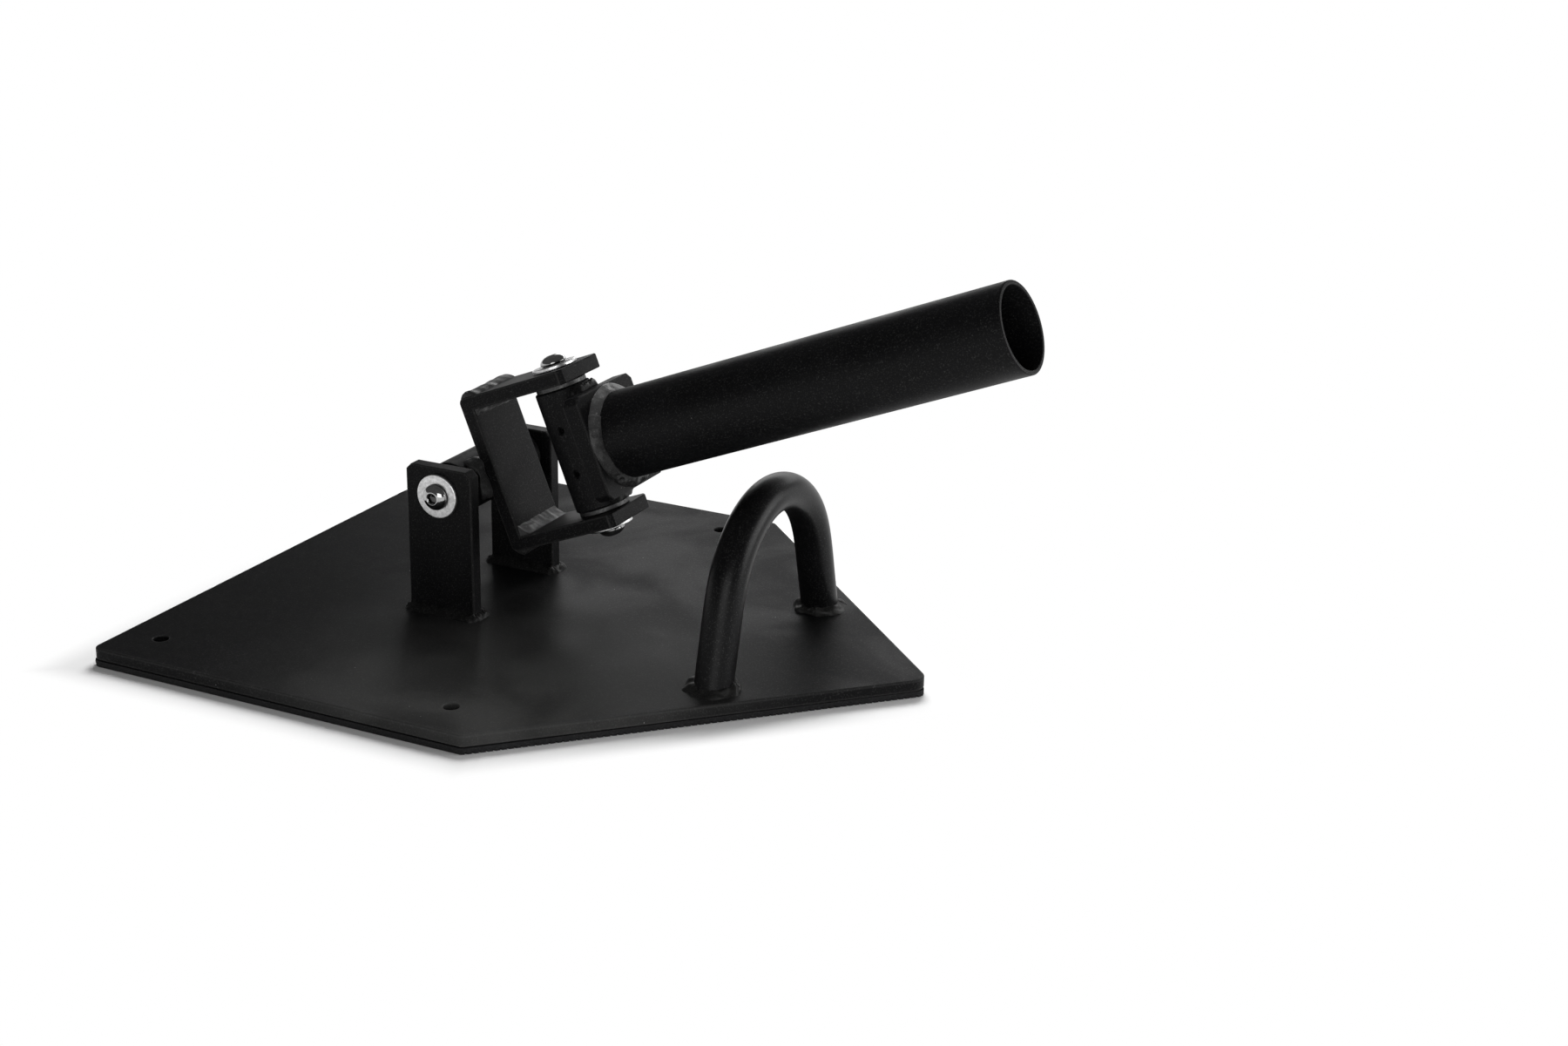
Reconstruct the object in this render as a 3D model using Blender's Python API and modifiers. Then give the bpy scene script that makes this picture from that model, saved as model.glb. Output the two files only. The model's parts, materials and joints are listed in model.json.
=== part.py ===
"""T-bar row attachment: a floor plate that holds one end of a bar.

The plate lies on a ribbed rubber mat and carries two ears. A welded yoke tilts on a pin between
the ears, and a sleeve for the bar's end swivels on a second pin in the yoke. A bent rod stops the
sleeve short of the plate. Lengths are in metres, +Z is up, +X runs towards the sleeve's open end,
and the origin lies on the floor under the middle of the tilt pin.
"""

import math

import bmesh
import bpy
from mathutils import Matrix, Vector

OBJECT_NAME = "t_bar_row_attachment"

# Clearance between pieces that touch, and how far a cutter passes the face that it opens
GAP = 0.0003
OVERCUT = 0.004

# Floor plate: straight sides, then a nose with a point ahead
PLATE_WIDTH = 0.420
PLATE_SIDE = 0.280
PLATE_NOSE = 0.210
PLATE_THICKNESS = 0.008
PLATE_CORNER = 0.006
PLATE_EDGE = 0.001
PLATE_BEHIND_PIN = 0.1635
BOLT_HOLE = 0.0102
BOLT_FROM_REAR = 0.029
BOLT_FROM_SIDE = 0.0325
BOLT_PITCH = 0.2225

# Rubber mat under the plate, with ribs along X below
MAT_THICKNESS = 0.004
MAT_MARGIN = 0.0005
RIB_PITCH = 0.003
RIB_WIDTH = 0.0018
RIB_HEIGHT = 0.0014

# Ears that carry the tilt pin
EAR_WIDTH = 0.050
EAR_THICKNESS = 0.0095
EAR_SPACING = 0.0905
EAR_ABOVE_PIN = 0.019
EAR_CHAMFER = 0.004
PIN_ABOVE_PLATE = 0.083

# Stop hoop, a round rod: an arch on two legs that splay outwards
HOOP_ROD = 0.025
HOOP_AHEAD_OF_PIN = 0.2155
HOOP_FOOT_SPREAD = 0.1546
HOOP_ARCH_RADIUS = 0.0656
HOOP_ARCH_CENTRE = 0.0373

# Pin, bushes and barrel of each pivot
PIN_DIAMETER = 0.020
BUSH_WALL = 0.0025
BUSH_LENGTH = 0.022
BUSH_FLANGE_WIDTH = 0.0042
BUSH_FLANGE_THICKNESS = 0.003
BARREL_WALL = 0.0054
BARREL_CHAMFER = 0.001
OIL_HOLE = 0.004
OIL_HOLE_SINK = 0.0011
OIL_HOLE_SPACING = 0.030

# Button-head screws and plain washers at the ends of each pin
SCREW_DIAMETER = 0.010
SCREW_LENGTH = 0.025
SCREW_HEAD_DIAMETER = 0.0175
SCREW_HEAD_HEIGHT = 0.0055
SCREW_HEAD_RIM = 0.0008
SOCKET_ACROSS_FLATS = 0.006
SOCKET_DEPTH = 0.0033
WASHER_DIAMETER = 0.030
WASHER_THICKNESS = 0.0025

# Yoke of flat bar
YOKE_WIDTH = 0.050
YOKE_THICKNESS = 0.0095
YOKE_OPENING = 0.089
YOKE_CORNER = 0.004
SWIVEL_AHEAD_OF_BAR = 0.055
ARM_AHEAD_OF_SWIVEL = 0.019
ARM_CORNER = 0.003

# Flange and sleeve
SLEEVE_BORE = 0.052
SLEEVE_WALL = 0.003
SLEEVE_LENGTH = 0.293
FLANGE_MARGIN = 0.006
FLANGE_THICKNESS = 0.012
FLANGE_CHAMFER = 0.004
SLEEVE_ANGLE = math.radians(22.0)

# Weld beads
EAR_SIDE_WELD = 0.0065
EAR_END_WELD = 0.0045
HOOP_WELD = 0.0065
SLEEVE_WELD = 0.0055
INNER_CORNER_WELD = 0.007
OUTER_CORNER_WELD_WIDTH = 0.012
OUTER_CORNER_WELD_HEIGHT = 0.0022
OUTER_CORNER_WELD_SETBACK = 0.002
BARREL_WELD_HEIGHT = 0.013
BARREL_WELD_OVERHANG = 0.005
BARREL_WELD_LAP = 0.002
BARREL_WELD_EDGE = 0.0035
WELD_LAND = 0.0008

# Where a fillet weld's face crosses the middle, as a share of its leg: half is flat, less is hollow
HOLLOW_FILLET = 0.36
FULL_FILLET = 0.6

# Rounding of cut edges, and how finely round pieces are divided
EDGE = 0.0006
PIVOT_STEPS = 32
SCREW_STEPS = 24
SLEEVE_STEPS = 48
CORNER_STEPS = 4
HOOP_ARCH_STEPS = 20
HOOP_SIDE_STEPS = 3
SCREW_HEAD_STEPS = 6
BEAD_STEPS = 8
WELD_CORNER_STEPS = 3

# Points closer than this are one, and edges sharper than this angle stay sharp
MERGE = 0.00001
SHARP_ANGLE = math.radians(26)

# Heights and places that follow from the sizes above
PLATE_BOTTOM = MAT_THICKNESS + GAP
PLATE_TOP = PLATE_BOTTOM + PLATE_THICKNESS
PIN_HEIGHT = PLATE_TOP + PIN_ABOVE_PLATE
BUSH_BORE = PIN_DIAMETER + 2 * GAP
BARREL_BORE = BUSH_BORE + 2 * BUSH_WALL + 2 * GAP
BARREL_RADIUS = BARREL_BORE / 2 + BARREL_WALL
BAR_BACK = BARREL_RADIUS + GAP
BAR_FRONT = BAR_BACK + YOKE_THICKNESS
SWIVEL_X = BAR_FRONT + SWIVEL_AHEAD_OF_BAR
ARM_BACK = BAR_FRONT + GAP
ARM_FRONT = SWIVEL_X + ARM_AHEAD_OF_SWIVEL
FLANGE_BACK = BARREL_RADIUS + GAP
FLANGE_FRONT = FLANGE_BACK + FLANGE_THICKNESS
SLEEVE_RADIUS = SLEEVE_BORE / 2 + SLEEVE_WALL
FLANGE_SIZE = 2 * (SLEEVE_RADIUS + FLANGE_MARGIN)
ALONG_Y = Matrix.Rotation(math.radians(-90), 4, "X")
ALONG_X = Matrix.Rotation(math.radians(90), 4, "Y")


def clear_scene():
    """Remove every object of the open scene."""
    for obj in list(bpy.data.objects):
        bpy.data.objects.remove(obj, do_unlink=True)


def new_collection(name):
    """Add a collection to the scene."""
    collection = bpy.data.collections.new(name)
    bpy.context.scene.collection.children.link(collection)
    return collection


def new_material(name, colour, roughness, metallic):
    """Make a plain Principled material."""
    material = bpy.data.materials.new(name)
    material.use_nodes = True
    shader = material.node_tree.nodes["Principled BSDF"]
    shader.inputs["Base Color"].default_value = (*colour, 1)
    shader.inputs["Roughness"].default_value = roughness
    shader.inputs["Metallic"].default_value = metallic
    material.diffuse_color = (*colour, 1)
    return material


clear_scene()
PARTS = new_collection(OBJECT_NAME)
CUTTERS = new_collection("cutters")
STEEL = new_material("black_powder_coat", (0.018, 0.018, 0.019), 0.5, 0.0)
WELD = new_material("coated_weld", (0.032, 0.032, 0.033), 0.4, 0.0)
RUBBER = new_material("black_rubber", (0.010, 0.010, 0.010), 0.8, 0.0)
ZINC = new_material("zinc_plated_steel", (0.72, 0.72, 0.71), 0.3, 1.0)
GROUND_STEEL = new_material("ground_steel", (0.55, 0.55, 0.54), 0.25, 1.0)
BUSH_METAL = new_material("sintered_bush", (0.42, 0.40, 0.36), 0.4, 1.0)


def frame(name, place, parent=None):
    """Add an empty that pieces are parented to."""
    empty = bpy.data.objects.new(name, None)
    PARTS.objects.link(empty)
    empty.parent = parent
    empty.matrix_local = place
    return empty


def shading_group():
    """A node group that shades faces smooth and keeps the sharp edges sharp."""
    group = bpy.data.node_groups.new("smooth_by_angle", "GeometryNodeTree")
    group.is_modifier = True
    for in_out in ("INPUT", "OUTPUT"):
        group.interface.new_socket("Geometry", in_out=in_out, socket_type="NodeSocketGeometry")
    start = group.nodes.new("NodeGroupInput")
    end = group.nodes.new("NodeGroupOutput")
    angle = group.nodes.new("GeometryNodeInputMeshEdgeAngle")
    below = group.nodes.new("ShaderNodeMath")
    below.operation = "LESS_THAN"
    below.inputs[1].default_value = SHARP_ANGLE
    faces = group.nodes.new("GeometryNodeSetShadeSmooth")
    edges = group.nodes.new("GeometryNodeSetShadeSmooth")
    edges.domain = "EDGE"
    group.links.new(start.outputs["Geometry"], faces.inputs["Geometry"])
    group.links.new(faces.outputs["Geometry"], edges.inputs["Geometry"])
    group.links.new(angle.outputs["Unsigned Angle"], below.inputs[0])
    group.links.new(below.outputs["Value"], edges.inputs["Shade Smooth"])
    group.links.new(edges.outputs["Geometry"], end.inputs["Geometry"])
    return group


def shade_smooth(obj, group):
    """Shade a piece smooth by the angle of its edges."""
    modifier = obj.modifiers.new("shading", "NODES")
    modifier.node_group = group


def add_piece(name, mesh, material, parent, place=None):
    """Add a mesh as a named piece in its parent's frame."""
    obj = bpy.data.objects.new(name, mesh)
    PARTS.objects.link(obj)
    mesh.materials.append(material)
    obj.parent = parent
    obj.matrix_local = place or Matrix()
    return obj


def add_cutter(name, mesh, parent, place=None):
    """Add a mesh that only cuts other pieces."""
    obj = bpy.data.objects.new(name, mesh)
    CUTTERS.objects.link(obj)
    obj.parent = parent
    obj.matrix_local = place or Matrix()
    obj.hide_render = True
    obj.display_type = "WIRE"
    return obj


def cut(obj, *cutters):
    """Take each cutter out of a piece."""
    for cutter in cutters:
        modifier = obj.modifiers.new("cut_" + cutter.name, "BOOLEAN")
        modifier.operation = "DIFFERENCE"
        modifier.solver = "EXACT"
        modifier.object = cutter


def round_edges(obj, width, segments=1):
    """Break the sharp edges of a piece."""
    modifier = obj.modifiers.new("edges", "BEVEL")
    modifier.width = width
    modifier.segments = segments
    modifier.limit_method = "ANGLE"
    modifier.angle_limit = SHARP_ANGLE


def mesh_from(shape, name):
    """Turn a bmesh into a mesh."""
    mesh = bpy.data.meshes.new(name)
    shape.to_mesh(mesh)
    shape.free()
    return mesh


def block_mesh(name, low, high):
    """Make a box between two corners."""
    low = Vector(low)
    high = Vector(high)
    size = Matrix.Diagonal((*(high - low), 1))
    shape = bmesh.new()
    bmesh.ops.create_cube(shape, size=1, matrix=Matrix.Translation((low + high) / 2) @ size)
    return mesh_from(shape, name)


def rod_mesh(name, radius, low, high, steps):
    """Make a solid cylinder on the local Z axis."""
    shape = bmesh.new()
    middle = Matrix.Translation((0, 0, (low + high) / 2))
    bmesh.ops.create_cone(
        shape, cap_ends=True, segments=steps, radius1=radius, radius2=radius,
        depth=high - low, matrix=middle,
    )
    return mesh_from(shape, name)


def turned(name, profile, steps, material, parent, place=None, closed=False):
    """Turn a profile of (radius, height) points, outer side downwards, about the local Z axis."""
    shape = bmesh.new()
    points = [shape.verts.new((radius, 0, height)) for radius, height in profile]
    for start, end in zip(points, points[1:]):
        shape.edges.new((start, end))
    if closed:
        shape.edges.new((points[-1], points[0]))
    obj = add_piece(name, mesh_from(shape, name), material, parent, place)
    screw = obj.modifiers.new("turn", "SCREW")
    screw.steps = steps
    screw.render_steps = steps
    screw.use_merge_vertices = True
    screw.merge_threshold = MERGE
    return obj


def corner_arc(before, corner, after, radius, steps):
    """Points of the arc that rounds one corner of an outline."""
    to_before = (before - corner).normalized()
    to_after = (after - corner).normalized()
    half_angle = to_before.angle(to_after) / 2
    middle = (to_before + to_after).normalized()
    centre = corner + middle * radius / math.sin(half_angle)
    start = corner + to_before * radius / math.tan(half_angle) - centre
    end = corner + to_after * radius / math.tan(half_angle) - centre
    turn = math.pi - 2 * half_angle
    arc = []
    for step in range(steps + 1):
        angle = turn * step / steps
        share = start * math.sin(turn - angle) + end * math.sin(angle)
        arc.append(centre + share / math.sin(turn))
    return arc


def rounded_outline(corners, radii, steps=CORNER_STEPS):
    """Round the corners of an outline. A radius of 0 leaves its corner sharp."""
    corners = [Vector(corner) for corner in corners]
    outline = []
    for index, (corner, radius) in enumerate(zip(corners, radii)):
        if radius:
            before = corners[index - 1]
            after = corners[(index + 1) % len(corners)]
            outline += corner_arc(before, corner, after, radius, steps)
        else:
            outline.append(corner)
    return outline


def outline_mesh(name, outline, thickness):
    """Fill a flat outline and give it thickness, half on each side of its plane."""
    curve = bpy.data.curves.new(name, "CURVE")
    curve.dimensions = "2D"
    curve.fill_mode = "BOTH"
    curve.extrude = thickness / 2
    spline = curve.splines.new("POLY")
    spline.points.add(len(outline) - 1)
    for point, corner in zip(spline.points, outline):
        point.co = (corner[0], corner[1], 0, 1)
    spline.use_cyclic_u = True
    return mesh_of_curve(name, curve)


def mesh_of_curve(name, curve):
    """Turn a curve into a closed mesh and remove the curve."""
    guide = bpy.data.objects.new(name + "_guide", curve)
    CUTTERS.objects.link(guide)
    graph = bpy.context.evaluated_depsgraph_get()
    mesh = bpy.data.meshes.new_from_object(guide.evaluated_get(graph))
    mesh.name = name
    bpy.data.objects.remove(guide, do_unlink=True)
    bpy.data.curves.remove(curve)
    shape = bmesh.new()
    shape.from_mesh(mesh)
    bmesh.ops.remove_doubles(shape, verts=shape.verts, dist=MERGE)
    bmesh.ops.dissolve_limit(
        shape, angle_limit=math.radians(0.05), verts=shape.verts, edges=shape.edges,
        use_dissolve_boundaries=False,
    )
    bmesh.ops.recalc_face_normals(shape, faces=shape.faces)
    shape.to_mesh(mesh)
    shape.free()
    return mesh


def flat(name, outline, thickness, material, parent, place):
    """Make a flat piece from an outline."""
    return add_piece(name, outline_mesh(name, outline, thickness), material, parent, place)


def plate_outline(margin):
    """Outline of the floor plate, or of the mat that stands out by a margin."""
    back = -PLATE_BEHIND_PIN - margin
    side = PLATE_WIDTH / 2 + margin
    shoulder = -PLATE_BEHIND_PIN + PLATE_SIDE + margin / 2
    tip = -PLATE_BEHIND_PIN + PLATE_SIDE + PLATE_NOSE + margin
    corners = [(back, -side), (shoulder, -side), (tip, 0), (shoulder, side), (back, side)]
    return rounded_outline(corners, [PLATE_CORNER] * len(corners))


def bolt_hole_cutters(base):
    """Cutters for the four holes that go through plate and mat."""
    cutters = []
    for row, reach in (("rear", BOLT_FROM_REAR), ("front", BOLT_FROM_REAR + BOLT_PITCH)):
        for side, sign in (("near", -1), ("far", 1)):
            mesh = rod_mesh(
                "bolt_hole", BOLT_HOLE / 2, -OVERCUT, PLATE_TOP + OVERCUT, SCREW_STEPS
            )
            middle = (reach - PLATE_BEHIND_PIN, sign * (PLATE_WIDTH / 2 - BOLT_FROM_SIDE), 0)
            name = "bolt_hole_" + row + "_" + side
            cutters.append(add_cutter(name, mesh, base, Matrix.Translation(middle)))
    return cutters


def mat_groove_cutter(base):
    """One cutter for all the grooves between the mat's ribs. A rib lies on the middle line."""
    back = -PLATE_BEHIND_PIN - MAT_MARGIN - OVERCUT
    front = PLATE_SIDE + PLATE_NOSE - PLATE_BEHIND_PIN + MAT_MARGIN + OVERCUT
    half_groove = (RIB_PITCH - RIB_WIDTH) / 2
    grooves_each_side = int((PLATE_WIDTH / 2 - half_groove) / RIB_PITCH + 0.5)
    shape = bmesh.new()
    for number in range(-grooves_each_side, grooves_each_side):
        middle = ((back + front) / 2, (number + 0.5) * RIB_PITCH, (RIB_HEIGHT - OVERCUT) / 2)
        size = (front - back, 2 * half_groove, RIB_HEIGHT + OVERCUT)
        place = Matrix.Translation(middle) @ Matrix.Diagonal((*size, 1))
        bmesh.ops.create_cube(shape, size=1, matrix=place)
    return add_cutter("mat_grooves", mesh_from(shape, "mat_grooves"), base)


def build_plate(base):
    """The floor plate and the mat under it."""
    holes = bolt_hole_cutters(base)
    middle = Matrix.Translation((0, 0, PLATE_BOTTOM + PLATE_THICKNESS / 2))
    plate = flat("base_plate", plate_outline(0), PLATE_THICKNESS, STEEL, base, middle)
    cut(plate, *holes)
    round_edges(plate, PLATE_EDGE, 2)
    middle = Matrix.Translation((0, 0, MAT_THICKNESS / 2))
    mat = flat("rubber_mat", plate_outline(MAT_MARGIN), MAT_THICKNESS, RUBBER, base, middle)
    cut(mat, mat_groove_cutter(base), *holes)


def fillet_frame(name, length, width, end_leg, side_leg, parent, place):
    """A fillet weld all round the foot of a bar of this section, standing on the plane Z = 0."""
    shape = bmesh.new()
    size = Matrix.Diagonal((length + 2 * end_leg, width + 2 * side_leg, side_leg, 1))
    bmesh.ops.create_cube(shape, size=1, matrix=Matrix.Translation((0, 0, side_leg / 2)) @ size)
    top = [vert for vert in shape.verts if vert.co.z > side_leg / 2]
    for vert in top:
        vert.co.x = math.copysign(length / 2 + WELD_LAND, vert.co.x)
        vert.co.y = math.copysign(width / 2 + WELD_LAND, vert.co.y)
    corners = [
        edge for edge in shape.edges
        if abs(edge.verts[0].co.z - edge.verts[1].co.z) > side_leg / 2
    ]
    bmesh.ops.bevel(
        shape, geom=corners, offset=end_leg / 2, offset_type="OFFSET",
        segments=WELD_CORNER_STEPS, profile=0.5, affect="EDGES",
    )
    weld = add_piece(name, mesh_from(shape, name), WELD, parent, place)
    low = (-length / 2 - GAP, -width / 2 - GAP, -OVERCUT)
    high = (length / 2 + GAP, width / 2 + GAP, side_leg + OVERCUT)
    cut(weld, add_cutter(name + "_bar", block_mesh(name, low, high), parent, place))
    return weld


def build_ear(side, sign, base, pin_frame):
    """One upright ear with its pin hole and its weld."""
    foot = PLATE_TOP + GAP
    top = PIN_HEIGHT + EAR_ABOVE_PIN
    half = EAR_WIDTH / 2
    corners = [
        (-half, foot), (half, foot), (half, top - EAR_CHAMFER), (half - EAR_CHAMFER, top),
        (EAR_CHAMFER - half, top), (-half, top - EAR_CHAMFER),
    ]
    middle = sign * (EAR_SPACING + EAR_THICKNESS) / 2
    upright = Matrix.Translation((0, middle, 0)) @ Matrix.Rotation(math.radians(90), 4, "X")
    ear = flat("ear_" + side, corners, EAR_THICKNESS, STEEL, base, upright)
    reach = EAR_THICKNESS / 2 + OVERCUT
    hole = rod_mesh("pin_hole", PIN_DIAMETER / 2 + GAP, -reach, reach, PIVOT_STEPS)
    place = Matrix.Translation((0, 0, middle))
    cut(ear, add_cutter("pin_hole_" + side, hole, pin_frame, place))
    round_edges(ear, EDGE)
    place = Matrix.Translation((0, middle, foot))
    legs = (EAR_END_WELD, EAR_SIDE_WELD)
    fillet_frame("ear_weld_" + side, EAR_WIDTH, EAR_THICKNESS, *legs, base, place)


def hoop_path():
    """Points (Y, height above the plate) of the rod's middle line, from foot to foot.

    Each leg is the tangent from its foot to the arch's circle, so the two meet smoothly.
    """
    foot = Vector((HOOP_FOOT_SPREAD / 2, 0))
    centre = Vector((0, HOOP_ARCH_CENTRE))
    to_foot = foot - centre
    start = math.atan2(to_foot.y, to_foot.x) + math.acos(HOOP_ARCH_RADIUS / to_foot.length)
    points = [foot]
    for step in range(HOOP_ARCH_STEPS + 1):
        angle = start + (math.pi - 2 * start) * step / HOOP_ARCH_STEPS
        points.append(centre + HOOP_ARCH_RADIUS * Vector((math.cos(angle), math.sin(angle))))
    points.append(Vector((-foot.x, 0)))
    return points


def build_hoop(base):
    """The stop hoop, cut flat at its feet, with a weld round each foot."""
    path = hoop_path()
    leg = (path[1] - path[0]).normalized()
    below = path[0] - leg * HOOP_ROD
    path[0] = below
    path[-1] = Vector((-below.x, below.y))
    curve = bpy.data.curves.new("hoop", "CURVE")
    curve.dimensions = "3D"
    curve.bevel_depth = HOOP_ROD / 2
    curve.bevel_resolution = HOOP_SIDE_STEPS
    curve.use_fill_caps = True
    spline = curve.splines.new("POLY")
    spline.points.add(len(path) - 1)
    for point, (across, height) in zip(spline.points, path):
        point.co = (0, across, height, 1)
    foot = Matrix.Translation((HOOP_AHEAD_OF_PIN, 0, PLATE_TOP + GAP))
    hoop = add_piece("hoop", mesh_of_curve("hoop", curve), STEEL, base, foot)
    reach = HOOP_FOOT_SPREAD / 2 + HOOP_ROD
    under = block_mesh("hoop_foot", (-HOOP_ROD, -reach, -2 * HOOP_ROD), (HOOP_ROD, reach, 0))
    cut(hoop, add_cutter("hoop_foot_plane", under, base, foot))
    lean = math.atan2(-leg.x, leg.y)
    for side, sign in (("near", -1), ("far", 1)):
        build_hoop_weld(side, sign, lean, base, foot)


def build_hoop_weld(side, sign, lean, base, foot):
    """A fillet weld round one leg, which leans towards the middle by this angle."""
    name = "hoop_weld_" + side
    rod_radius = HOOP_ROD / 2
    shape = bmesh.new()
    bmesh.ops.create_cone(
        shape, cap_ends=True, segments=PIVOT_STEPS, radius1=rod_radius + HOOP_WELD,
        radius2=rod_radius + WELD_LAND, depth=HOOP_WELD,
        matrix=Matrix.Translation((0, 0, HOOP_WELD / 2)),
    )
    lean_over = Matrix.Shear("XY", 4, (0, -sign * math.tan(lean)))
    bmesh.ops.transform(shape, matrix=lean_over, verts=shape.verts)
    place = foot @ Matrix.Translation((0, sign * HOOP_FOOT_SPREAD / 2, 0))
    weld = add_piece(name, mesh_from(shape, name), WELD, base, place)
    rod = rod_mesh(name, rod_radius + GAP, -HOOP_ROD, HOOP_ROD, PIVOT_STEPS)
    along_leg = place @ Matrix.Rotation(sign * lean, 4, "X")
    cut(weld, add_cutter(name + "_rod", rod, base, along_leg))


def pin_profile(half_length):
    """A pin with a plain hole for a screw in each end."""
    radius = PIN_DIAMETER / 2
    bore = SCREW_DIAMETER / 2 + GAP
    bottom = half_length - SCREW_LENGTH
    return [
        (0, bottom), (bore, bottom), (bore, half_length), (radius - EDGE, half_length),
        (radius, half_length - EDGE), (radius, EDGE - half_length),
        (radius - EDGE, -half_length), (bore, -half_length), (bore, -bottom), (0, -bottom),
    ]


def washer_profile():
    """A flat washer that stands on Z = 0."""
    outer = WASHER_DIAMETER / 2
    inner = SCREW_DIAMETER / 2 + GAP
    return [
        (inner, WASHER_THICKNESS), (outer - EDGE, WASHER_THICKNESS),
        (outer, WASHER_THICKNESS - EDGE), (outer, 0), (inner, 0),
    ]


def screw_profile():
    """A domed head that stands on Z = 0, with its shank below."""
    radius = SCREW_HEAD_DIAMETER / 2
    dome = SCREW_HEAD_HEIGHT - SCREW_HEAD_RIM
    points = []
    for step in range(SCREW_HEAD_STEPS + 1):
        angle = math.pi / 2 * (1 - step / SCREW_HEAD_STEPS)
        points.append((radius * math.cos(angle), SCREW_HEAD_RIM + dome * math.sin(angle)))
    points[0] = (0, SCREW_HEAD_HEIGHT)
    shank = SCREW_DIAMETER / 2
    points += [(radius, 0), (shank, 0), (shank, EDGE - SCREW_LENGTH)]
    points += [(shank - EDGE, -SCREW_LENGTH), (0, -SCREW_LENGTH)]
    return points


def add_screw(name, parent, place):
    """A button-head screw with a hexagon socket."""
    screw = turned(name, screw_profile(), SCREW_STEPS, ZINC, parent, place)
    corner_radius = SOCKET_ACROSS_FLATS / math.sqrt(3)
    bottom = SCREW_HEAD_HEIGHT - SOCKET_DEPTH
    socket = rod_mesh(name, corner_radius, bottom, SCREW_HEAD_HEIGHT + OVERCUT, 6)
    cut(screw, add_cutter(name + "_socket", socket, parent, place))


def flip(place):
    """The same place seen from the pin's other end."""
    return Matrix.Rotation(math.pi, 4, "X") @ place


def add_pin_set(prefix, ends, spacing, thickness, parent):
    """The pin through two plates, and the washer and screw at each end."""
    outer = spacing / 2 + thickness
    turned(prefix + "_pin", pin_profile(outer), PIVOT_STEPS, GROUND_STEEL, parent)
    washer_seat = Matrix.Translation((0, 0, outer + GAP))
    screw_seat = Matrix.Translation((0, 0, outer + WASHER_THICKNESS + 2 * GAP))
    for end, turned_over in zip(ends, (False, True)):
        washer_place = flip(washer_seat) if turned_over else washer_seat
        screw_place = flip(screw_seat) if turned_over else screw_seat
        name = prefix + "_washer_" + end
        turned(name, washer_profile(), PIVOT_STEPS, ZINC, parent, washer_place, closed=True)
        add_screw(prefix + "_screw_" + end, parent, screw_place)


def barrel_half_length(spacing):
    """Half the barrel that fits between two plates with a bush flange at each end."""
    return spacing / 2 - BUSH_FLANGE_THICKNESS - 2 * GAP


def add_barrel_set(prefix, ends, spacing, parent):
    """The barrel that turns on a pin, and the flanged bush in each of its ends."""
    half = barrel_half_length(spacing)
    bore = BARREL_BORE / 2
    outer = BARREL_RADIUS
    edge = BARREL_CHAMFER
    profile = [
        (bore, half), (outer - edge, half), (outer, half - edge),
        (outer, edge - half), (outer - edge, -half), (bore, -half),
    ]
    barrel = turned(prefix + "_barrel", profile, PIVOT_STEPS, STEEL, parent, closed=True)
    inner = BUSH_BORE / 2
    body = inner + BUSH_WALL
    rim = body + BUSH_FLANGE_WIDTH
    seat = half + GAP
    flange_top = seat + BUSH_FLANGE_THICKNESS
    profile = [
        (inner, flange_top), (rim, flange_top), (rim, seat), (body, seat),
        (body, half - BUSH_LENGTH), (inner, half - BUSH_LENGTH),
    ]
    for end, place in zip(ends, (Matrix(), flip(Matrix()))):
        name = prefix + "_bush_" + end
        turned(name, profile, PIVOT_STEPS, BUSH_METAL, parent, place, closed=True)
    return barrel


def drill_oil_holes(barrel, parent):
    """Two countersunk holes through one side of a barrel, for oil."""
    for number, sign in ((1, 1), (2, -1)):
        place = Matrix.Translation((0, 0, sign * OIL_HOLE_SPACING / 2)) @ ALONG_Y
        name = "oil_hole_" + str(number)
        depth = -BARREL_RADIUS - OVERCUT
        hole = rod_mesh(name, OIL_HOLE / 2, depth, -BARREL_BORE / 4, SCREW_STEPS)
        shape = bmesh.new()
        bmesh.ops.create_cone(
            shape, cap_ends=True, segments=SCREW_STEPS,
            radius1=OIL_HOLE / 2 + OIL_HOLE_SINK + OVERCUT, radius2=OIL_HOLE / 2,
            depth=OIL_HOLE_SINK + OVERCUT,
            matrix=Matrix.Translation((0, 0, -BARREL_RADIUS + (OIL_HOLE_SINK - OVERCUT) / 2)),
        )
        sink = mesh_from(shape, name + "_sink")
        cut(barrel, add_cutter(name, hole, parent, place))
        cut(barrel, add_cutter(name + "_sink", sink, parent, place))


def add_saddle_weld(name, half_plate, parent):
    """A weld all round the line where a barrel on Z touches a plate ahead of it.

    It fills the wedge on each side of the line and closes round the plate's two ends.
    """
    plate_back = BARREL_RADIUS + GAP
    end = half_plate + BARREL_WELD_OVERHANG
    low = (BARREL_RADIUS / 2, -BARREL_WELD_HEIGHT, -end)
    high = (plate_back + BARREL_WELD_LAP, BARREL_WELD_HEIGHT, end)
    weld = add_piece(name, block_mesh(name, low, high), WELD, parent)
    round_edges(weld, BARREL_WELD_EDGE, WELD_CORNER_STEPS)
    reach = 2 * BARREL_WELD_HEIGHT
    low = (plate_back - GAP, -reach, -half_plate - GAP)
    high = (plate_back + reach, reach, half_plate + GAP)
    plate = add_cutter(name + "_plate", block_mesh(name, low, high), parent)
    barrel = rod_mesh(name, BARREL_RADIUS + GAP, -2 * end, 2 * end, PIVOT_STEPS)
    cut(weld, plate, add_cutter(name + "_barrel", barrel, parent))


def bead(name, outline, length, parent, place=None):
    """A weld bead of one section, laid along Y. The outline lies in X and Z."""
    along = (place or Matrix()) @ Matrix.Rotation(math.radians(90), 4, "X")
    return flat(name, outline, length, WELD, parent, along)


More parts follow.
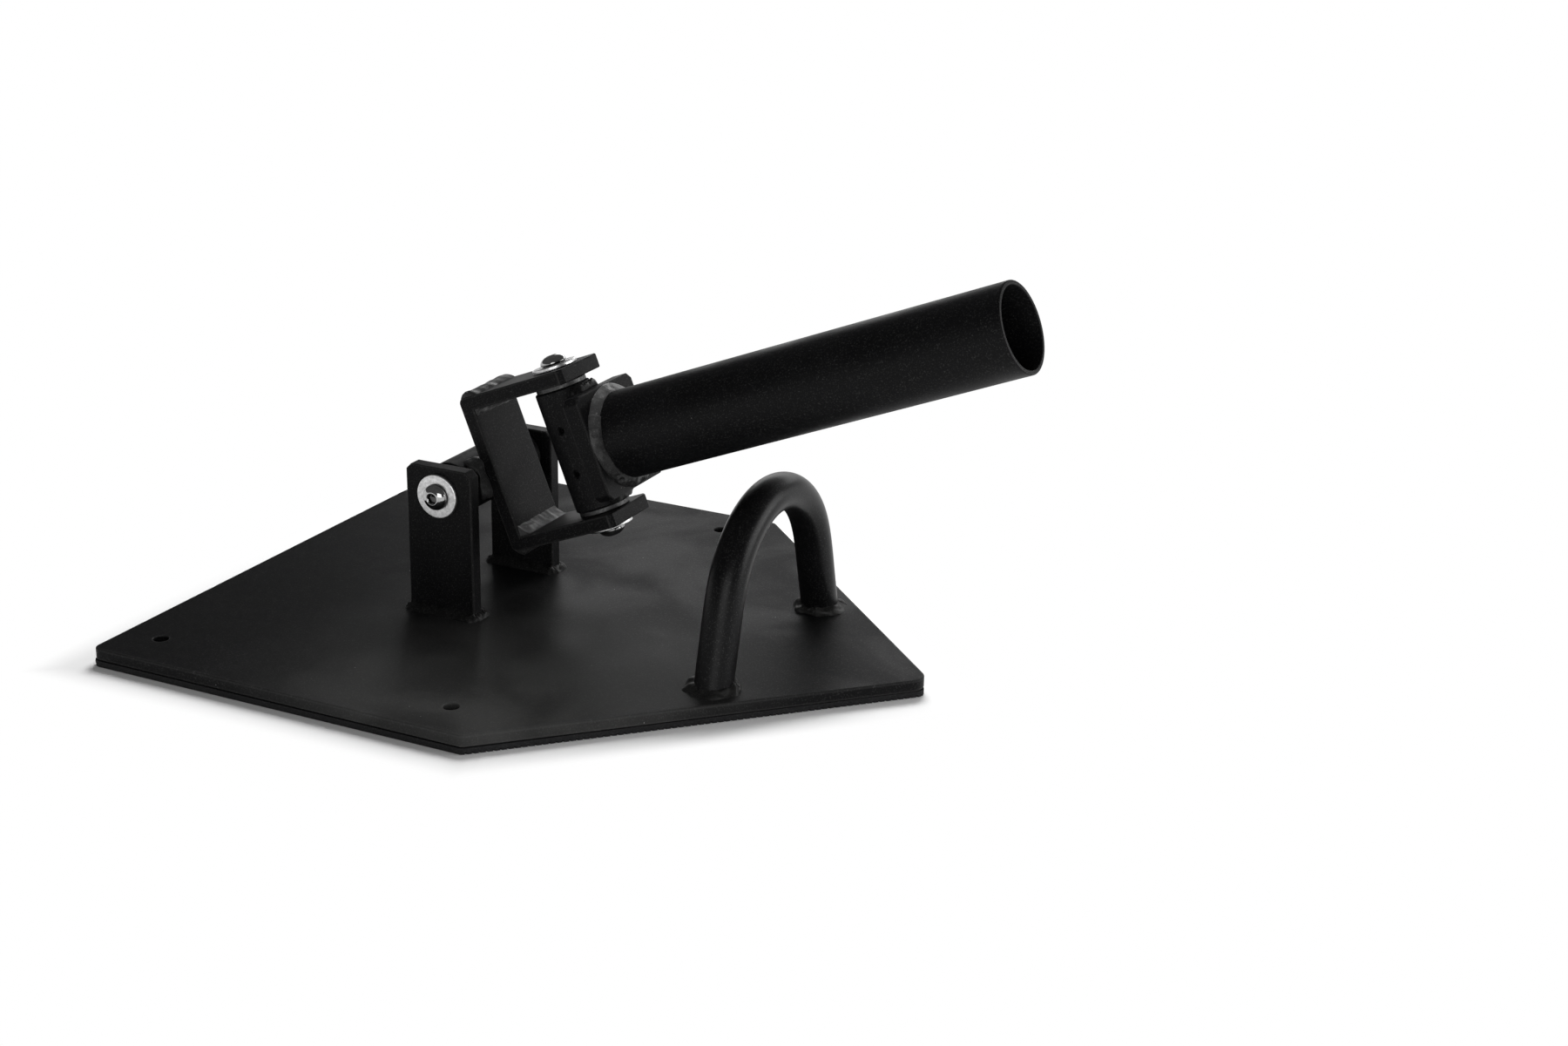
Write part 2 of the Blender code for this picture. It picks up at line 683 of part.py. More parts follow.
def build_yoke_corner(end, sign, tilt):
    """The two beads that join one arm to the yoke's bar."""
    inside = YOKE_OPENING / 2
    near_bar = BAR_FRONT + GAP
    below_arm = inside - GAP
    leg = INNER_CORNER_WELD
    fillet = [
        (near_bar, sign * below_arm), (near_bar + leg, sign * below_arm),
        (near_bar + leg * HOLLOW_FILLET, sign * (below_arm - leg * HOLLOW_FILLET)),
        (near_bar, sign * (below_arm - leg)),
    ]
    bead("yoke_inner_weld_" + end, fillet, YOKE_WIDTH, tilt)
    face = inside + YOKE_THICKNESS + GAP
    middle = BAR_FRONT - OUTER_CORNER_WELD_SETBACK
    cap = []
    for step in range(BEAD_STEPS + 1):
        angle = math.pi * step / BEAD_STEPS
        cap.append((
            middle + OUTER_CORNER_WELD_WIDTH / 2 * math.cos(angle),
            sign * (face + OUTER_CORNER_WELD_HEIGHT * math.sin(angle)),
        ))
    bead("yoke_outer_weld_" + end, cap, YOKE_WIDTH - 2 * OUTER_CORNER_WELD_HEIGHT, tilt)


def build_yoke_arm(end, sign, tilt):
    """One arm of the yoke, with the hole for the swivel pin."""
    half = YOKE_WIDTH / 2
    corners = [(ARM_BACK, -half), (ARM_FRONT, -half), (ARM_FRONT, half), (ARM_BACK, half)]
    outline = rounded_outline(corners, [0, ARM_CORNER, ARM_CORNER, 0])
    height = sign * (YOKE_OPENING + YOKE_THICKNESS) / 2
    place = Matrix.Translation((0, 0, height))
    arm = flat("yoke_arm_" + end, outline, YOKE_THICKNESS, STEEL, tilt, place)
    reach = YOKE_THICKNESS / 2 + OVERCUT
    hole = rod_mesh("swivel_hole", PIN_DIAMETER / 2 + GAP, -reach, reach, PIVOT_STEPS)
    place = Matrix.Translation((SWIVEL_X, 0, height))
    cut(arm, add_cutter("swivel_hole_" + end, hole, tilt, place))
    round_edges(arm, EDGE)


def build_yoke(tilt):
    """The bar and the two arms of the yoke, and their welds."""
    half = YOKE_OPENING / 2 + YOKE_THICKNESS
    corners = [(BAR_BACK, -half), (BAR_FRONT, -half), (BAR_FRONT, half), (BAR_BACK, half)]
    outline = rounded_outline(corners, [YOKE_CORNER, 0, 0, YOKE_CORNER])
    upright = Matrix.Rotation(math.radians(90), 4, "X")
    bar = flat("yoke_back_bar", outline, YOKE_WIDTH, STEEL, tilt, upright)
    round_edges(bar, EDGE)
    for end, sign in (("upper", 1), ("lower", -1)):
        build_yoke_arm(end, sign, tilt)
        build_yoke_corner(end, sign, tilt)


def build_flange(swivel):
    """The square flange between the swivel barrel and the sleeve."""
    half = FLANGE_SIZE / 2
    cut_back = half - FLANGE_CHAMFER
    corners = [
        (-cut_back, -half), (cut_back, -half), (half, -cut_back), (half, cut_back),
        (cut_back, half), (-cut_back, half), (-half, cut_back), (-half, -cut_back),
    ]
    place = Matrix.Translation((FLANGE_BACK + FLANGE_THICKNESS / 2, 0, 0)) @ ALONG_X
    flange = flat("sleeve_flange", corners, FLANGE_THICKNESS, STEEL, swivel, place)
    round_edges(flange, EDGE)


def build_sleeve(swivel):
    """The open tube for the bar's end, and the weld round its foot."""
    start = FLANGE_FRONT + GAP
    end = start + SLEEVE_LENGTH
    bore = SLEEVE_BORE / 2
    outer = SLEEVE_RADIUS
    profile = [
        (bore, end), (outer - EDGE, end), (outer, end - EDGE), (outer, start), (bore, start),
    ]
    turned("sleeve_tube", profile, SLEEVE_STEPS, STEEL, swivel, ALONG_X, closed=True)
    inner = outer + GAP
    middle = SLEEVE_WELD * FULL_FILLET
    profile = [
        (inner, start + SLEEVE_WELD), (inner + WELD_LAND, start + SLEEVE_WELD),
        (inner + middle, start + middle), (inner + SLEEVE_WELD, start + WELD_LAND),
        (inner + SLEEVE_WELD, start), (inner, start),
    ]
    turned("sleeve_weld", profile, SLEEVE_STEPS, WELD, swivel, ALONG_X, closed=True)


def build():
    """Build the whole attachment at rest."""
    base = frame("base", Matrix())
    at_pin = Matrix.Translation((0, 0, PIN_HEIGHT))
    fixed_pin = frame("tilt_pin_axis", at_pin @ ALONG_Y, base)
    tilt = frame("tilt", at_pin @ Matrix.Rotation(-SLEEVE_ANGLE, 4, "Y"), base)
    tilt_barrel = frame("tilt_barrel_axis", ALONG_Y, tilt)
    swivel_pin = frame("swivel_pin_axis", Matrix.Translation((SWIVEL_X, 0, 0)), tilt)
    swivel = frame("swivel", Matrix.Translation((SWIVEL_X, 0, 0)), tilt)
    bpy.context.view_layer.update()

    build_plate(base)
    build_ear("near", -1, base, fixed_pin)
    build_ear("far", 1, base, fixed_pin)
    build_hoop(base)
    add_pin_set("tilt", ("far", "near"), EAR_SPACING, EAR_THICKNESS, fixed_pin)

    add_barrel_set("tilt", ("far", "near"), EAR_SPACING, tilt_barrel)
    add_saddle_weld("tilt_barrel_weld", YOKE_WIDTH / 2, tilt_barrel)
    build_yoke(tilt)
    add_pin_set("swivel", ("upper", "lower"), YOKE_OPENING, YOKE_THICKNESS, swivel_pin)

    barrel = add_barrel_set("swivel", ("upper", "lower"), YOKE_OPENING, swivel)
    drill_oil_holes(barrel, swivel)
    add_saddle_weld("swivel_barrel_weld", FLANGE_SIZE / 2, swivel)
    build_flange(swivel)
    build_sleeve(swivel)

    shading = shading_group()
    for obj in PARTS.objects:
        if obj.type == "MESH":
            shade_smooth(obj, shading)


build()
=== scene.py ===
"""Looks of the t-bar row attachment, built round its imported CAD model.

Plate, ears, yoke, flange, sleeve and hoop are steel under a satin black powder coat, joined by
hand-laid weld beads. Screws and washers are zinc-plated, and the flanges of the bushes show at the
ends of both barrels. Lengths are in metres in the row frame: +Z is up, +X runs towards the
sleeve's open end, and the origin lies on the floor under the middle of the tilt pin.
"""

from __future__ import annotations

import json
import logging
import math
from collections.abc import Sequence
from dataclasses import dataclass, field
from enum import Enum
from typing import Any, NamedTuple

import bmesh
import bpy
import numpy as np
from mathutils import Matrix, Vector
from mathutils.geometry import tessellate_polygon

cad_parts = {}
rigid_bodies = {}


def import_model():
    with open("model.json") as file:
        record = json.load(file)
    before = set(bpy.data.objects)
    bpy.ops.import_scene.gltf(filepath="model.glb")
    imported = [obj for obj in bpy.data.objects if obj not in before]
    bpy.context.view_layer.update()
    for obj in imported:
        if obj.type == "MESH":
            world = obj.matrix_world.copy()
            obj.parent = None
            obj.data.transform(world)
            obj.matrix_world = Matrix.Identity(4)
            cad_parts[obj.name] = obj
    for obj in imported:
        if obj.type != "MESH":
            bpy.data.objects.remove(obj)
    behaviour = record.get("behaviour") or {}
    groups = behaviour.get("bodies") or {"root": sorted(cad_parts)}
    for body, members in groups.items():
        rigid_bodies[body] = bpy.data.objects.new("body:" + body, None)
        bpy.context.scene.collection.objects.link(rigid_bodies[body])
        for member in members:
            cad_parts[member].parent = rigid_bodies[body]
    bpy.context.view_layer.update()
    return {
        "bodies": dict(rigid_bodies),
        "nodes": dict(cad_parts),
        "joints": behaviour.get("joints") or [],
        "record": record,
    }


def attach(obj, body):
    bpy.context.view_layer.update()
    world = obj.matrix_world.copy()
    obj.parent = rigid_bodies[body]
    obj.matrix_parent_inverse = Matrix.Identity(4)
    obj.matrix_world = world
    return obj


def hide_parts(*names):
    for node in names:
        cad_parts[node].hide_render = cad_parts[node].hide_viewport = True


LOG = logging.getLogger("t_bar_row_attachment")

# Points closer than this are one, and edges sharper than this angle stay sharp
MERGE = 0.000002
SHARP = math.radians(38)

# Heights over the floor, and the gap between pieces that lie on each other
PLATE_TOP = 0.0123
PIN_HEIGHT = 0.0953
GAP = 0.0003

# The yoke's back bar and the swivel's axis, ahead of the tilt pin in the tilted frame
BAR_BACK = 0.0188
BAR_FRONT = 0.0283
SWIVEL_X = 0.0833

# Both barrels' radius, and how far the sleeve rises at rest
BARREL_RADIUS = 0.0185
SLEEVE_ANGLE = math.radians(22)

AT_PIN = Matrix.Translation((0, 0, PIN_HEIGHT))
TILTED = AT_PIN @ Matrix.Rotation(-SLEEVE_ANGLE, 4, "Y")
AT_SWIVEL = TILTED @ Matrix.Translation((SWIVEL_X, 0, 0))
TURN_OVER = Matrix.Rotation(math.pi, 4, "X")
ALONG_Y = Matrix.Rotation(math.radians(-90), 4, "X")
ALONG_X = Matrix.Rotation(math.radians(90), 4, "Y")
ALONG_Y_TILTED = Matrix.Rotation(-SLEEVE_ANGLE, 4, "Y") @ ALONG_Y
UPRIGHT = Matrix.Rotation(math.radians(90), 4, "X")


class Body(Enum):
    """The bodies of the CAD model."""

    BASE = "base"
    YOKE = "yoke"
    SLEEVE = "sleeve"


class Slot(Enum):
    """The material slots of the record."""

    COAT = "black_powder_coat"
    WELD = "coated_weld"
    RUBBER = "black_rubber"
    ZINC = "zinc_plated_steel"
    GROUND = "ground_steel"
    BUSH = "sintered_bush"


class Side(Enum):
    """The two sides of the part, with the sign of Y on each."""

    NEAR = -1
    FAR = 1


class End(Enum):
    """The two ends of the swivel pin, with the sign of the height of each."""

    UPPER = 1
    LOWER = -1


class Look(Enum):
    """Finishes that differ from the plain one of their slot."""

    # Painted sheen: a lighter copy of the weld coat
    WELD_SHEEN = "thin_coat_on_weld"
    # Zinc painted darker, as painted shade for the room it mirrors
    SCREW = "polished_zinc"
    ROD = "powder_coat_on_rod"
    # The floor plate's coat, with a painted pool of light
    PLATE = "dusty_powder_coat"


# ---------------------------------------------------------------------------- surfaces


@dataclass
class Surface:
    """Points and faces of a shape before it becomes a mesh.

    The rim holds for each point a share from 0 to 1: how far it lies on an edge that handling
    wears, and on some pieces how much painted sheen or painted shade it takes.
    """

    points: np.ndarray
    faces: list[tuple[int, ...]]
    rim: np.ndarray | None = None

    def placed(self, place: Matrix) -> Surface:
        """The same surface, moved by a matrix."""
        moved = np.array(place)
        return Surface(self.points @ moved[:3, :3].T + moved[:3, 3], self.faces, self.rim)

    def joined(self, other: Surface) -> Surface:
        """Put another surface behind this one.

        Args:
            other: The other surface.

        Returns:
            Both as one, with a rim of 0 where a surface has none.
        """
        shift = len(self.points)
        faces = self.faces + [tuple(index + shift for index in face) for face in other.faces]
        rims = [
            part.rim if part.rim is not None else np.zeros(len(part.points))
            for part in (self, other)
        ]
        return Surface(np.concatenate([self.points, other.points]), faces, np.concatenate(rims))


def grid(
    points: np.ndarray, closed_rows: bool = False, closed_columns: bool = True,
    rim: np.ndarray | None = None,
) -> Surface:
    """Join a grid of points with four-sided faces.

    The face at (r, c) has the corners (r, c), (r + 1, c), (r + 1, c + 1) and (r, c + 1), counted
    round the end where a direction is closed.

    Args:
        points: The points, as (rows, columns, 3).
        closed_rows: Whether the last row joins the first.
        closed_columns: Whether the last column joins the first.
        rim: The share of wear, painted sheen or painted shade of each point, as (rows, columns).

    Returns:
        The surface.
    """
    rows, columns = points.shape[:2]
    row = np.arange(rows if closed_rows else rows - 1)[:, None]
    column = np.arange(columns if closed_columns else columns - 1)[None, :]
    next_row, next_column = (row + 1) % rows, (column + 1) % columns
    corners = [
        row * columns + column, next_row * columns + column,
        next_row * columns + next_column, row * columns + next_column,
    ]
    faces = np.stack(corners, -1).reshape(-1, 4)
    flat_rim = None if rim is None else rim.reshape(-1)
    return Surface(points.reshape(-1, 3), [tuple(face) for face in faces.tolist()], flat_rim)


def unit(vectors: np.ndarray) -> np.ndarray:
    """Each vector divided by its length."""
    return vectors / np.linalg.norm(vectors, axis=-1, keepdims=True)


def rounded(
    corners: Sequence[tuple[float, float]], radii: Sequence[float], steps: int = 6,
    support: float = 0.0,
) -> np.ndarray:
    """Round the corners of a closed outline.

    An arc is centre + (start sin(turn - a) + end sin a) / sin turn, for a from 0 to the turn,
    where start and end run from its centre to the two sides. A support is one more point on each
    side of an arc, which keeps the shading of the straight side flat.

    Args:
        corners: The corners in order.
        radii: The radius of each corner. A radius of 0 leaves it sharp.
        steps: How many parts an arc has.
        support: How far from its arc a support point lies, or 0 for none.

    Returns:
        The outline's points, as (n, 2).
    """
    corner_points = np.array(corners, float)
    to_before = unit(np.roll(corner_points, 1, 0) - corner_points)
    to_after = unit(np.roll(corner_points, -1, 0) - corner_points)
    parts = []
    for corner, before, after, radius in zip(corner_points, to_before, to_after, radii):
        if radius == 0:
            parts.append(corner[None])
            continue
        half = math.acos(float(np.clip(before @ after, -1, 1))) / 2
        centre = corner + unit(before + after) * radius / math.sin(half)
        reach = radius / math.tan(half)
        start = corner + before * reach - centre
        end = corner + after * reach - centre
        turn = math.pi - 2 * half
        angle = np.linspace(0, turn, steps + 1)[:, None]
        arc = centre + (start * np.sin(turn - angle) + end * np.sin(angle)) / math.sin(turn)
        if support:
            first = corner + before * (reach + support)
            last = corner + after * (reach + support)
            arc = np.concatenate([first[None], arc, last[None]])
        parts.append(arc)
    return np.concatenate(parts)


def subdivided(outline: np.ndarray, spacing: float) -> np.ndarray:
    """Cut each side of a closed outline into equal parts: point + share of the way to the next.

    Args:
        outline: The outline, as (n, 2).
        spacing: The most that a part may measure.

    Returns:
        The outline with the added points.
    """
    along = np.roll(outline, -1, 0) - outline
    counts = np.maximum(1, np.ceil(np.linalg.norm(along, axis=1) / spacing)).astype(int)
    side = np.repeat(np.arange(len(outline)), counts)
    number = np.arange(counts.sum()) - np.repeat(np.cumsum(counts) - counts, counts)
    return outline[side] + (number / counts[side])[:, None] * along[side]


def mitres(outline: np.ndarray) -> np.ndarray:
    """Inward mitre of each point of an outline.

    It is the sum of the unit normals of the point's two sides, over one plus their product.

    Args:
        outline: The anticlockwise outline, as (n, 2).

    Returns:
        The mitres, each long enough to move its two sides inwards by 1.
    """
    along = unit(np.roll(outline, -1, 0) - outline)
    normal = np.stack([-along[:, 1], along[:, 0]], 1)
    before = np.roll(normal, 1, 0)
    return (normal + before) / (1 + (normal * before).sum(1))[:, None]


def turned(profile: np.ndarray, steps: int = 96) -> Surface:
    """Turn a profile about Z: (r cos a, r sin a, h) for a all round.

    Args:
        profile: Rows of (radius, height). One that starts and ends on the axis stays open, and
            any other one closes on itself.
        steps: How many parts the round has.

    Returns:
        The turned surface.
    """
    angle = np.linspace(0, 2 * math.pi, steps, endpoint=False)
    radius, height = profile[:, :1], profile[:, 1:]
    points = np.stack([radius * np.cos(angle), radius * np.sin(angle), height + 0 * angle], -1)
    return grid(points, closed_rows=bool(profile[0, 0] > MERGE))


def wobble(share: np.ndarray, waves: int, random: np.random.Generator) -> np.ndarray:
    """Uneven line that closes on itself: a sum of sines with random heights and starts.

    Args:
        share: Place along the line, from 0 to 1.
        waves: The most waves that fit in the line.
        random: Where the heights and starts come from.

    Returns:
        The line's height at each place, with a spread of 1.
    """
    counts = np.arange(1, waves + 1)
    heights = random.uniform(0.3, 1.0, waves)
    starts = random.uniform(0, 2 * math.pi, waves)
    line = (heights * np.sin(2 * math.pi * share[:, None] * counts + starts)).sum(1)
    return line / math.sqrt((heights**2).sum() / 2)


@dataclass(frozen=True)
class FlatBar:
    """A flat piece cut from bar or plate, with rounded edges and round holes.

    Attributes:
        outline: The anticlockwise outline in X and Y, as (n, 2).
        thickness: The thickness along Z, half on each side of Z = 0.
        edge: The radius of the edges.
        holes: The holes, each as (x, y, radius).
        chips: How deep the deepest chip in the upper edge is.
        wear: How worn the edges are, from 0 to 1.
        edge_steps: How many parts the round of an edge has.
        hole_steps: How many parts a hole's circle has.
        support: How far beside its round a supporting row lies, as a share of its radius.
        hole_edge: The radius of the holes' edges, as a share of the others.
        chip_waves: The most waves in the line of chips round the outline.
        chip_level: The height of that line from which it is a chip.
        seed: Where the chips start from.
    """

    outline: np.ndarray
    thickness: float
    edge: float
    holes: tuple[tuple[float, float, float], ...] = ()
    chips: float = 0.0
    wear: float = 0.25
    edge_steps: int = 4
    hole_steps: int = 48
    support: float = 0.7
    hole_edge: float = 0.6
    chip_waves: int = 90
    chip_level: float = 1.7
    seed: int = 7

    def rim_rows(self, edge: float) -> np.ndarray:
        """Rows from the upper face over the edge to the lower face.

        On the edge they are inset = edge (1 - sin a), height = half - edge (1 - cos a).

        Args:
            edge: The radius of the edge.

        Returns:
            Rows of (inset, height, wear).
        """
        half = self.thickness / 2
        support = edge * self.support
        turn = np.linspace(0, math.pi / 2, self.edge_steps + 1)
        inset, drop = edge * (1 - np.sin(turn)), edge * (1 - np.cos(turn))
        upper = np.stack([inset, half - drop, np.full_like(turn, self.wear)], 1)
        before = [[edge + support, half, 0.0]]
        after = [[0.0, half - edge - support, 0.0]]
        rows = np.concatenate([before, upper, after])
        return np.concatenate([rows, rows[::-1] * [1, -1, 1]])

    def surface(self) -> Surface:
        """Carry the rows round the outline and each hole, and close both faces between them.

        A point is outline + mitre inset, or x + (radius + inset) cos a, y + (radius + inset) sin a
        round a hole, at the row's height.

        Returns:
            The bar.
        """
        rows = self.rim_rows(self.edge)
        depth = np.repeat(rows[:, :1], len(self.outline), 1)
        if self.chips:
            random = np.random.default_rng(self.seed)
            share = np.linspace(0, 1, len(self.outline), endpoint=False)
            line = wobble(share, self.chip_waves, random) - self.chip_level
            line = np.clip(line, 0, 1) * self.chips
            depth = depth + line * (rows[:, 2:] > 0) * (rows[:, 1:2] > 0)
        inward = mitres(self.outline)
        flat = self.outline + inward * depth[..., None]
        height = np.broadcast_to(rows[:, 1:2], depth.shape)
        wear = np.broadcast_to(rows[:, 2:], depth.shape)
        body = grid(np.concatenate([flat, height[..., None]], -1), rim=wear)
        loops = [np.arange(len(self.outline))]
        last = [loops[0] + len(body.points) - len(self.outline)]
        angle = np.linspace(0, 2 * math.pi, self.hole_steps, endpoint=False)
        for x, y, radius in self.holes:
            hole_rows = self.rim_rows(self.edge * self.hole_edge)
            reach = radius + hole_rows[:, :1]
            ring = np.stack(
                [x + reach * np.cos(angle), y + reach * np.sin(angle),
                 hole_rows[:, 1:2] + 0 * angle], -1,
            )
            shift = len(body.points)
            hole_wear = np.broadcast_to(hole_rows[:, 2:], reach.shape[:1] + angle.shape)
            body = body.joined(grid(ring, rim=hole_wear))
            loops.append(shift + np.arange(self.hole_steps))
            last.append(loops[-1] + len(body.points) - shift - self.hole_steps)
        for face_loops in (loops, last):
            order = np.concatenate(face_loops)
            polygons = [[Vector(p) for p in body.points[loop]] for loop in face_loops]
            body.faces += [
                tuple(int(order[i]) for i in corners) for corners in tessellate_polygon(polygons)
            ]
        return body


class Mark(NamedTuple):
    """A blob on a bead, or a crater where its height is below 0.

    Attributes:
        share: Its place along the bead, from 0 to 1.
        across: Its place across the face, from 0 to 1.
        radius: Its radius.
        height: Its height.
    """

    share: float
    across: float
    radius: float
    height: float


class Run(NamedTuple):
    """A new run of weld, laid over the last one with a ledge at its start.

    Attributes:
        share: Where it starts, from 0 to 1.
        width: How long its thick start is, as a share of the bead.
        gain: How much wider than the bead it starts, as a share.
    """

    share: float
    width: float
    gain: float


@dataclass
class WeldBead:
    """A bead laid along a path, whose face runs between two toes.

    The face is toe_a (1 - v) + toe_b v + crown ((4 v (1 - v))^0.8 rise + unevenness), for v from
    0 to 1. The unevenness is the sum of crescent ripples, soft lumps and single marks.

    Attributes:
        toe_a: Where the bead meets the first bar, as (n, 3).
        toe_b: Where it meets the second bar, as (n, 3).
        root: A line inside the joint that closes the section, as (n, 3).
        crown: The unit direction in which the face bulges, as (n, 3).
        rise: How far the middle of the face stands over the line between its toes, as (n,).
        closed: Whether the path closes on itself.
        pitch: The length of one ripple.
        ripple: The height of the ripples.
        lump: The height of the soft lumps.
        lump_length: The length of a lump.
        marks: Its blobs and craters.
        seed: Where the unevenness starts from.
        steps: How many parts the face has across.
        taper: How far from an open end the bead starts to close.
        jitter: How much the ripples stray from even steps, in ripples.
        lag: How far a ripple's ends trail its middle, in ripples.
        lump_waves: How many waves make the lumps.
    """

    toe_a: np.ndarray
    toe_b: np.ndarray
    root: np.ndarray
    crown: np.ndarray
    rise: np.ndarray
    closed: bool = True
    pitch: float = 0.0024
    ripple: float = 0.0002
    lump: float = 0.0002
    lump_length: float = 0.005
    marks: Sequence[Mark] = ()
    seed: int = 1
    steps: int = 14
    taper: float = 0.0035
    jitter: float = 0.5
    lag: float = 0.5
    lump_waves: int = 14

    @classmethod
    def fillet(
        cls, root: np.ndarray, out: np.ndarray, up: np.ndarray, legs: tuple[Any, Any],
        fullness: float, uneven: float = 0.1, runs: Sequence[Run] = (), **options: Any,
    ) -> WeldBead:
        """A bead in the corner between two faces.

        Its toes are root + out leg and root + up leg, and its face's middle stands out by
        (fullness - 1/2) sqrt(2) leg.

        Args:
            root: The corner's line, as (n, 3).
            out: The unit direction along the first face, away from the corner.
            up: The unit direction along the second face, away from the corner.
            legs: How far the bead reaches along each face.
            fullness: Where its face crosses the middle, as a share of its leg: half is flat.
            uneven: How much the legs vary along the bead, as a share.
            runs: The runs that were laid over it.
            options: Other attributes of the bead.

        Returns:
            The bead.
        """
        sink, ledge_ramp = 0.00025, 0.006
        random = np.random.default_rng(options.get("seed", 1))
        share = np.linspace(0, 1, len(root), endpoint=False)
        gain = np.zeros(len(root))
        for start, width, more in runs:
            after = (share - start) % 1.0
            ledge = np.clip(after / ledge_ramp, 0, 1) * np.exp(-after / width)
            gain += more * ledge
        leg_out = legs[0] * (1 + gain + uneven * wobble(share, 9, random))
        leg_up = legs[1] * (1 + gain + uneven * wobble(share, 11, random))
        mean = (leg_out + leg_up) / 2
        return cls(
            toe_a=root + out * leg_out[:, None] - up * sink,
            toe_b=root + up * leg_up[:, None] - out * sink,
            root=root - (out + up) * sink * 2,
            crown=unit(out + up),
            rise=((fullness - 0.5) * math.sqrt(2) + gain * 0.3) * mean,
            **options,
        )

    def unevenness(self, length: np.ndarray, total: float) -> np.ndarray:
        """How far each point of the face stands out of the smooth bead.

        Ripples are crescents, whose phase is length / pitch + lag (2 v - 1)^2 with jitter. Lumps
        are a sum of waves that run along and across the bead. A blob is h exp(-(d / r)^2) at the
        distance d from its middle, and a crater is the same with a raised rim.

        Args:
            length: Each section's place along the bead.
            total: The bead's length.

        Returns:
            The heights, as (sections, steps + 1).
        """
        random = np.random.default_rng(self.seed + 100)
        across = np.linspace(0, 1, self.steps + 1)
        share = length / total
        count = max(1, round(total / self.pitch))
        jitter = self.jitter * wobble(share, max(2, count // 3), random)
        phase = (share * count + jitter)[:, None] + self.lag * (2 * across - 1) ** 2
        wave = (0.5 + 0.5 * np.cos(2 * math.pi * phase)) ** 0.7 - 0.55
        strength = (0.6 + 0.45 * wobble(share, max(2, count // 2), random)).clip(0)
        window = np.sin(math.pi * across) ** 0.7
        height = self.ripple * wave * strength[:, None] * window
        most = max(2, round(total / self.lump_length))
        waves = self.lump_waves
        for along, sideways, start, size in zip(
            random.integers(1, most + 1, waves), random.uniform(-1.6, 1.6, waves),
            random.uniform(0, 2 * math.pi, waves), random.uniform(0.3, 1.0, waves),
        ):
            turn = 2 * math.pi * (along * share[:, None] + sideways * across)
            height += self.lump * 0.4 * size * np.sin(turn + start) * window
        width = np.linalg.norm(self.toe_a - self.toe_b, axis=1).mean()
        for place, side, radius, rise in self.marks:
            ahead = (length - place * total)[:, None]
            if self.closed:
                ahead = (ahead + total / 2) % total - total / 2
            away = np.hypot(ahead, (across - side) * width) / radius
            bump = rise * np.exp(-(away**2))
            if rise < 0:
                bump += -0.6 * rise * np.exp(-(((away - 1.35) / 0.45) ** 2))
            height += bump
        return height

    def surface(self) -> Surface:
        """The face and the root as a closed shape.

        Towards an open end the section shrinks to its root by sqrt(1 - (1 - d / taper)^2) at the
        distance d from that end.

        Returns:
            The bead.
        """
        across = np.linspace(0, 1, self.steps + 1)
        middle = (self.toe_a + self.toe_b) / 2
        step = np.linalg.norm(np.diff(middle, axis=0, append=middle[:1]), axis=1)
        length = np.concatenate([[0], np.cumsum(step)[:-1]])
        total = float(step.sum() if self.closed else length[-1])
        bulge = (4 * across * (1 - across)) ** 0.8 * self.rise[:, None]
        bulge = bulge + self.unevenness(length, total)
        chord = (
            self.toe_a[:, None] * (1 - across[:, None]) + self.toe_b[:, None] * across[:, None]
        )
        face = chord + self.crown[:, None] * bulge[..., None]
        points = np.concatenate([face, self.root[:, None]], 1)
        if not self.closed:
            to_end = np.minimum(length, total - length)
            near = np.clip(1 - to_end / self.taper, 0, 1)
            size = np.sqrt(1 - near**2).clip(0.02)
            points = self.root[:, None] + (points - self.root[:, None]) * size[:, None, None]
        surface = grid(points, closed_rows=self.closed)
        if not self.closed:
            columns = points.shape[1]
            surface.faces.append(tuple(range(columns)))
            surface.faces.append(tuple(range(len(surface.points) - columns, len(surface.points))))
        return surface


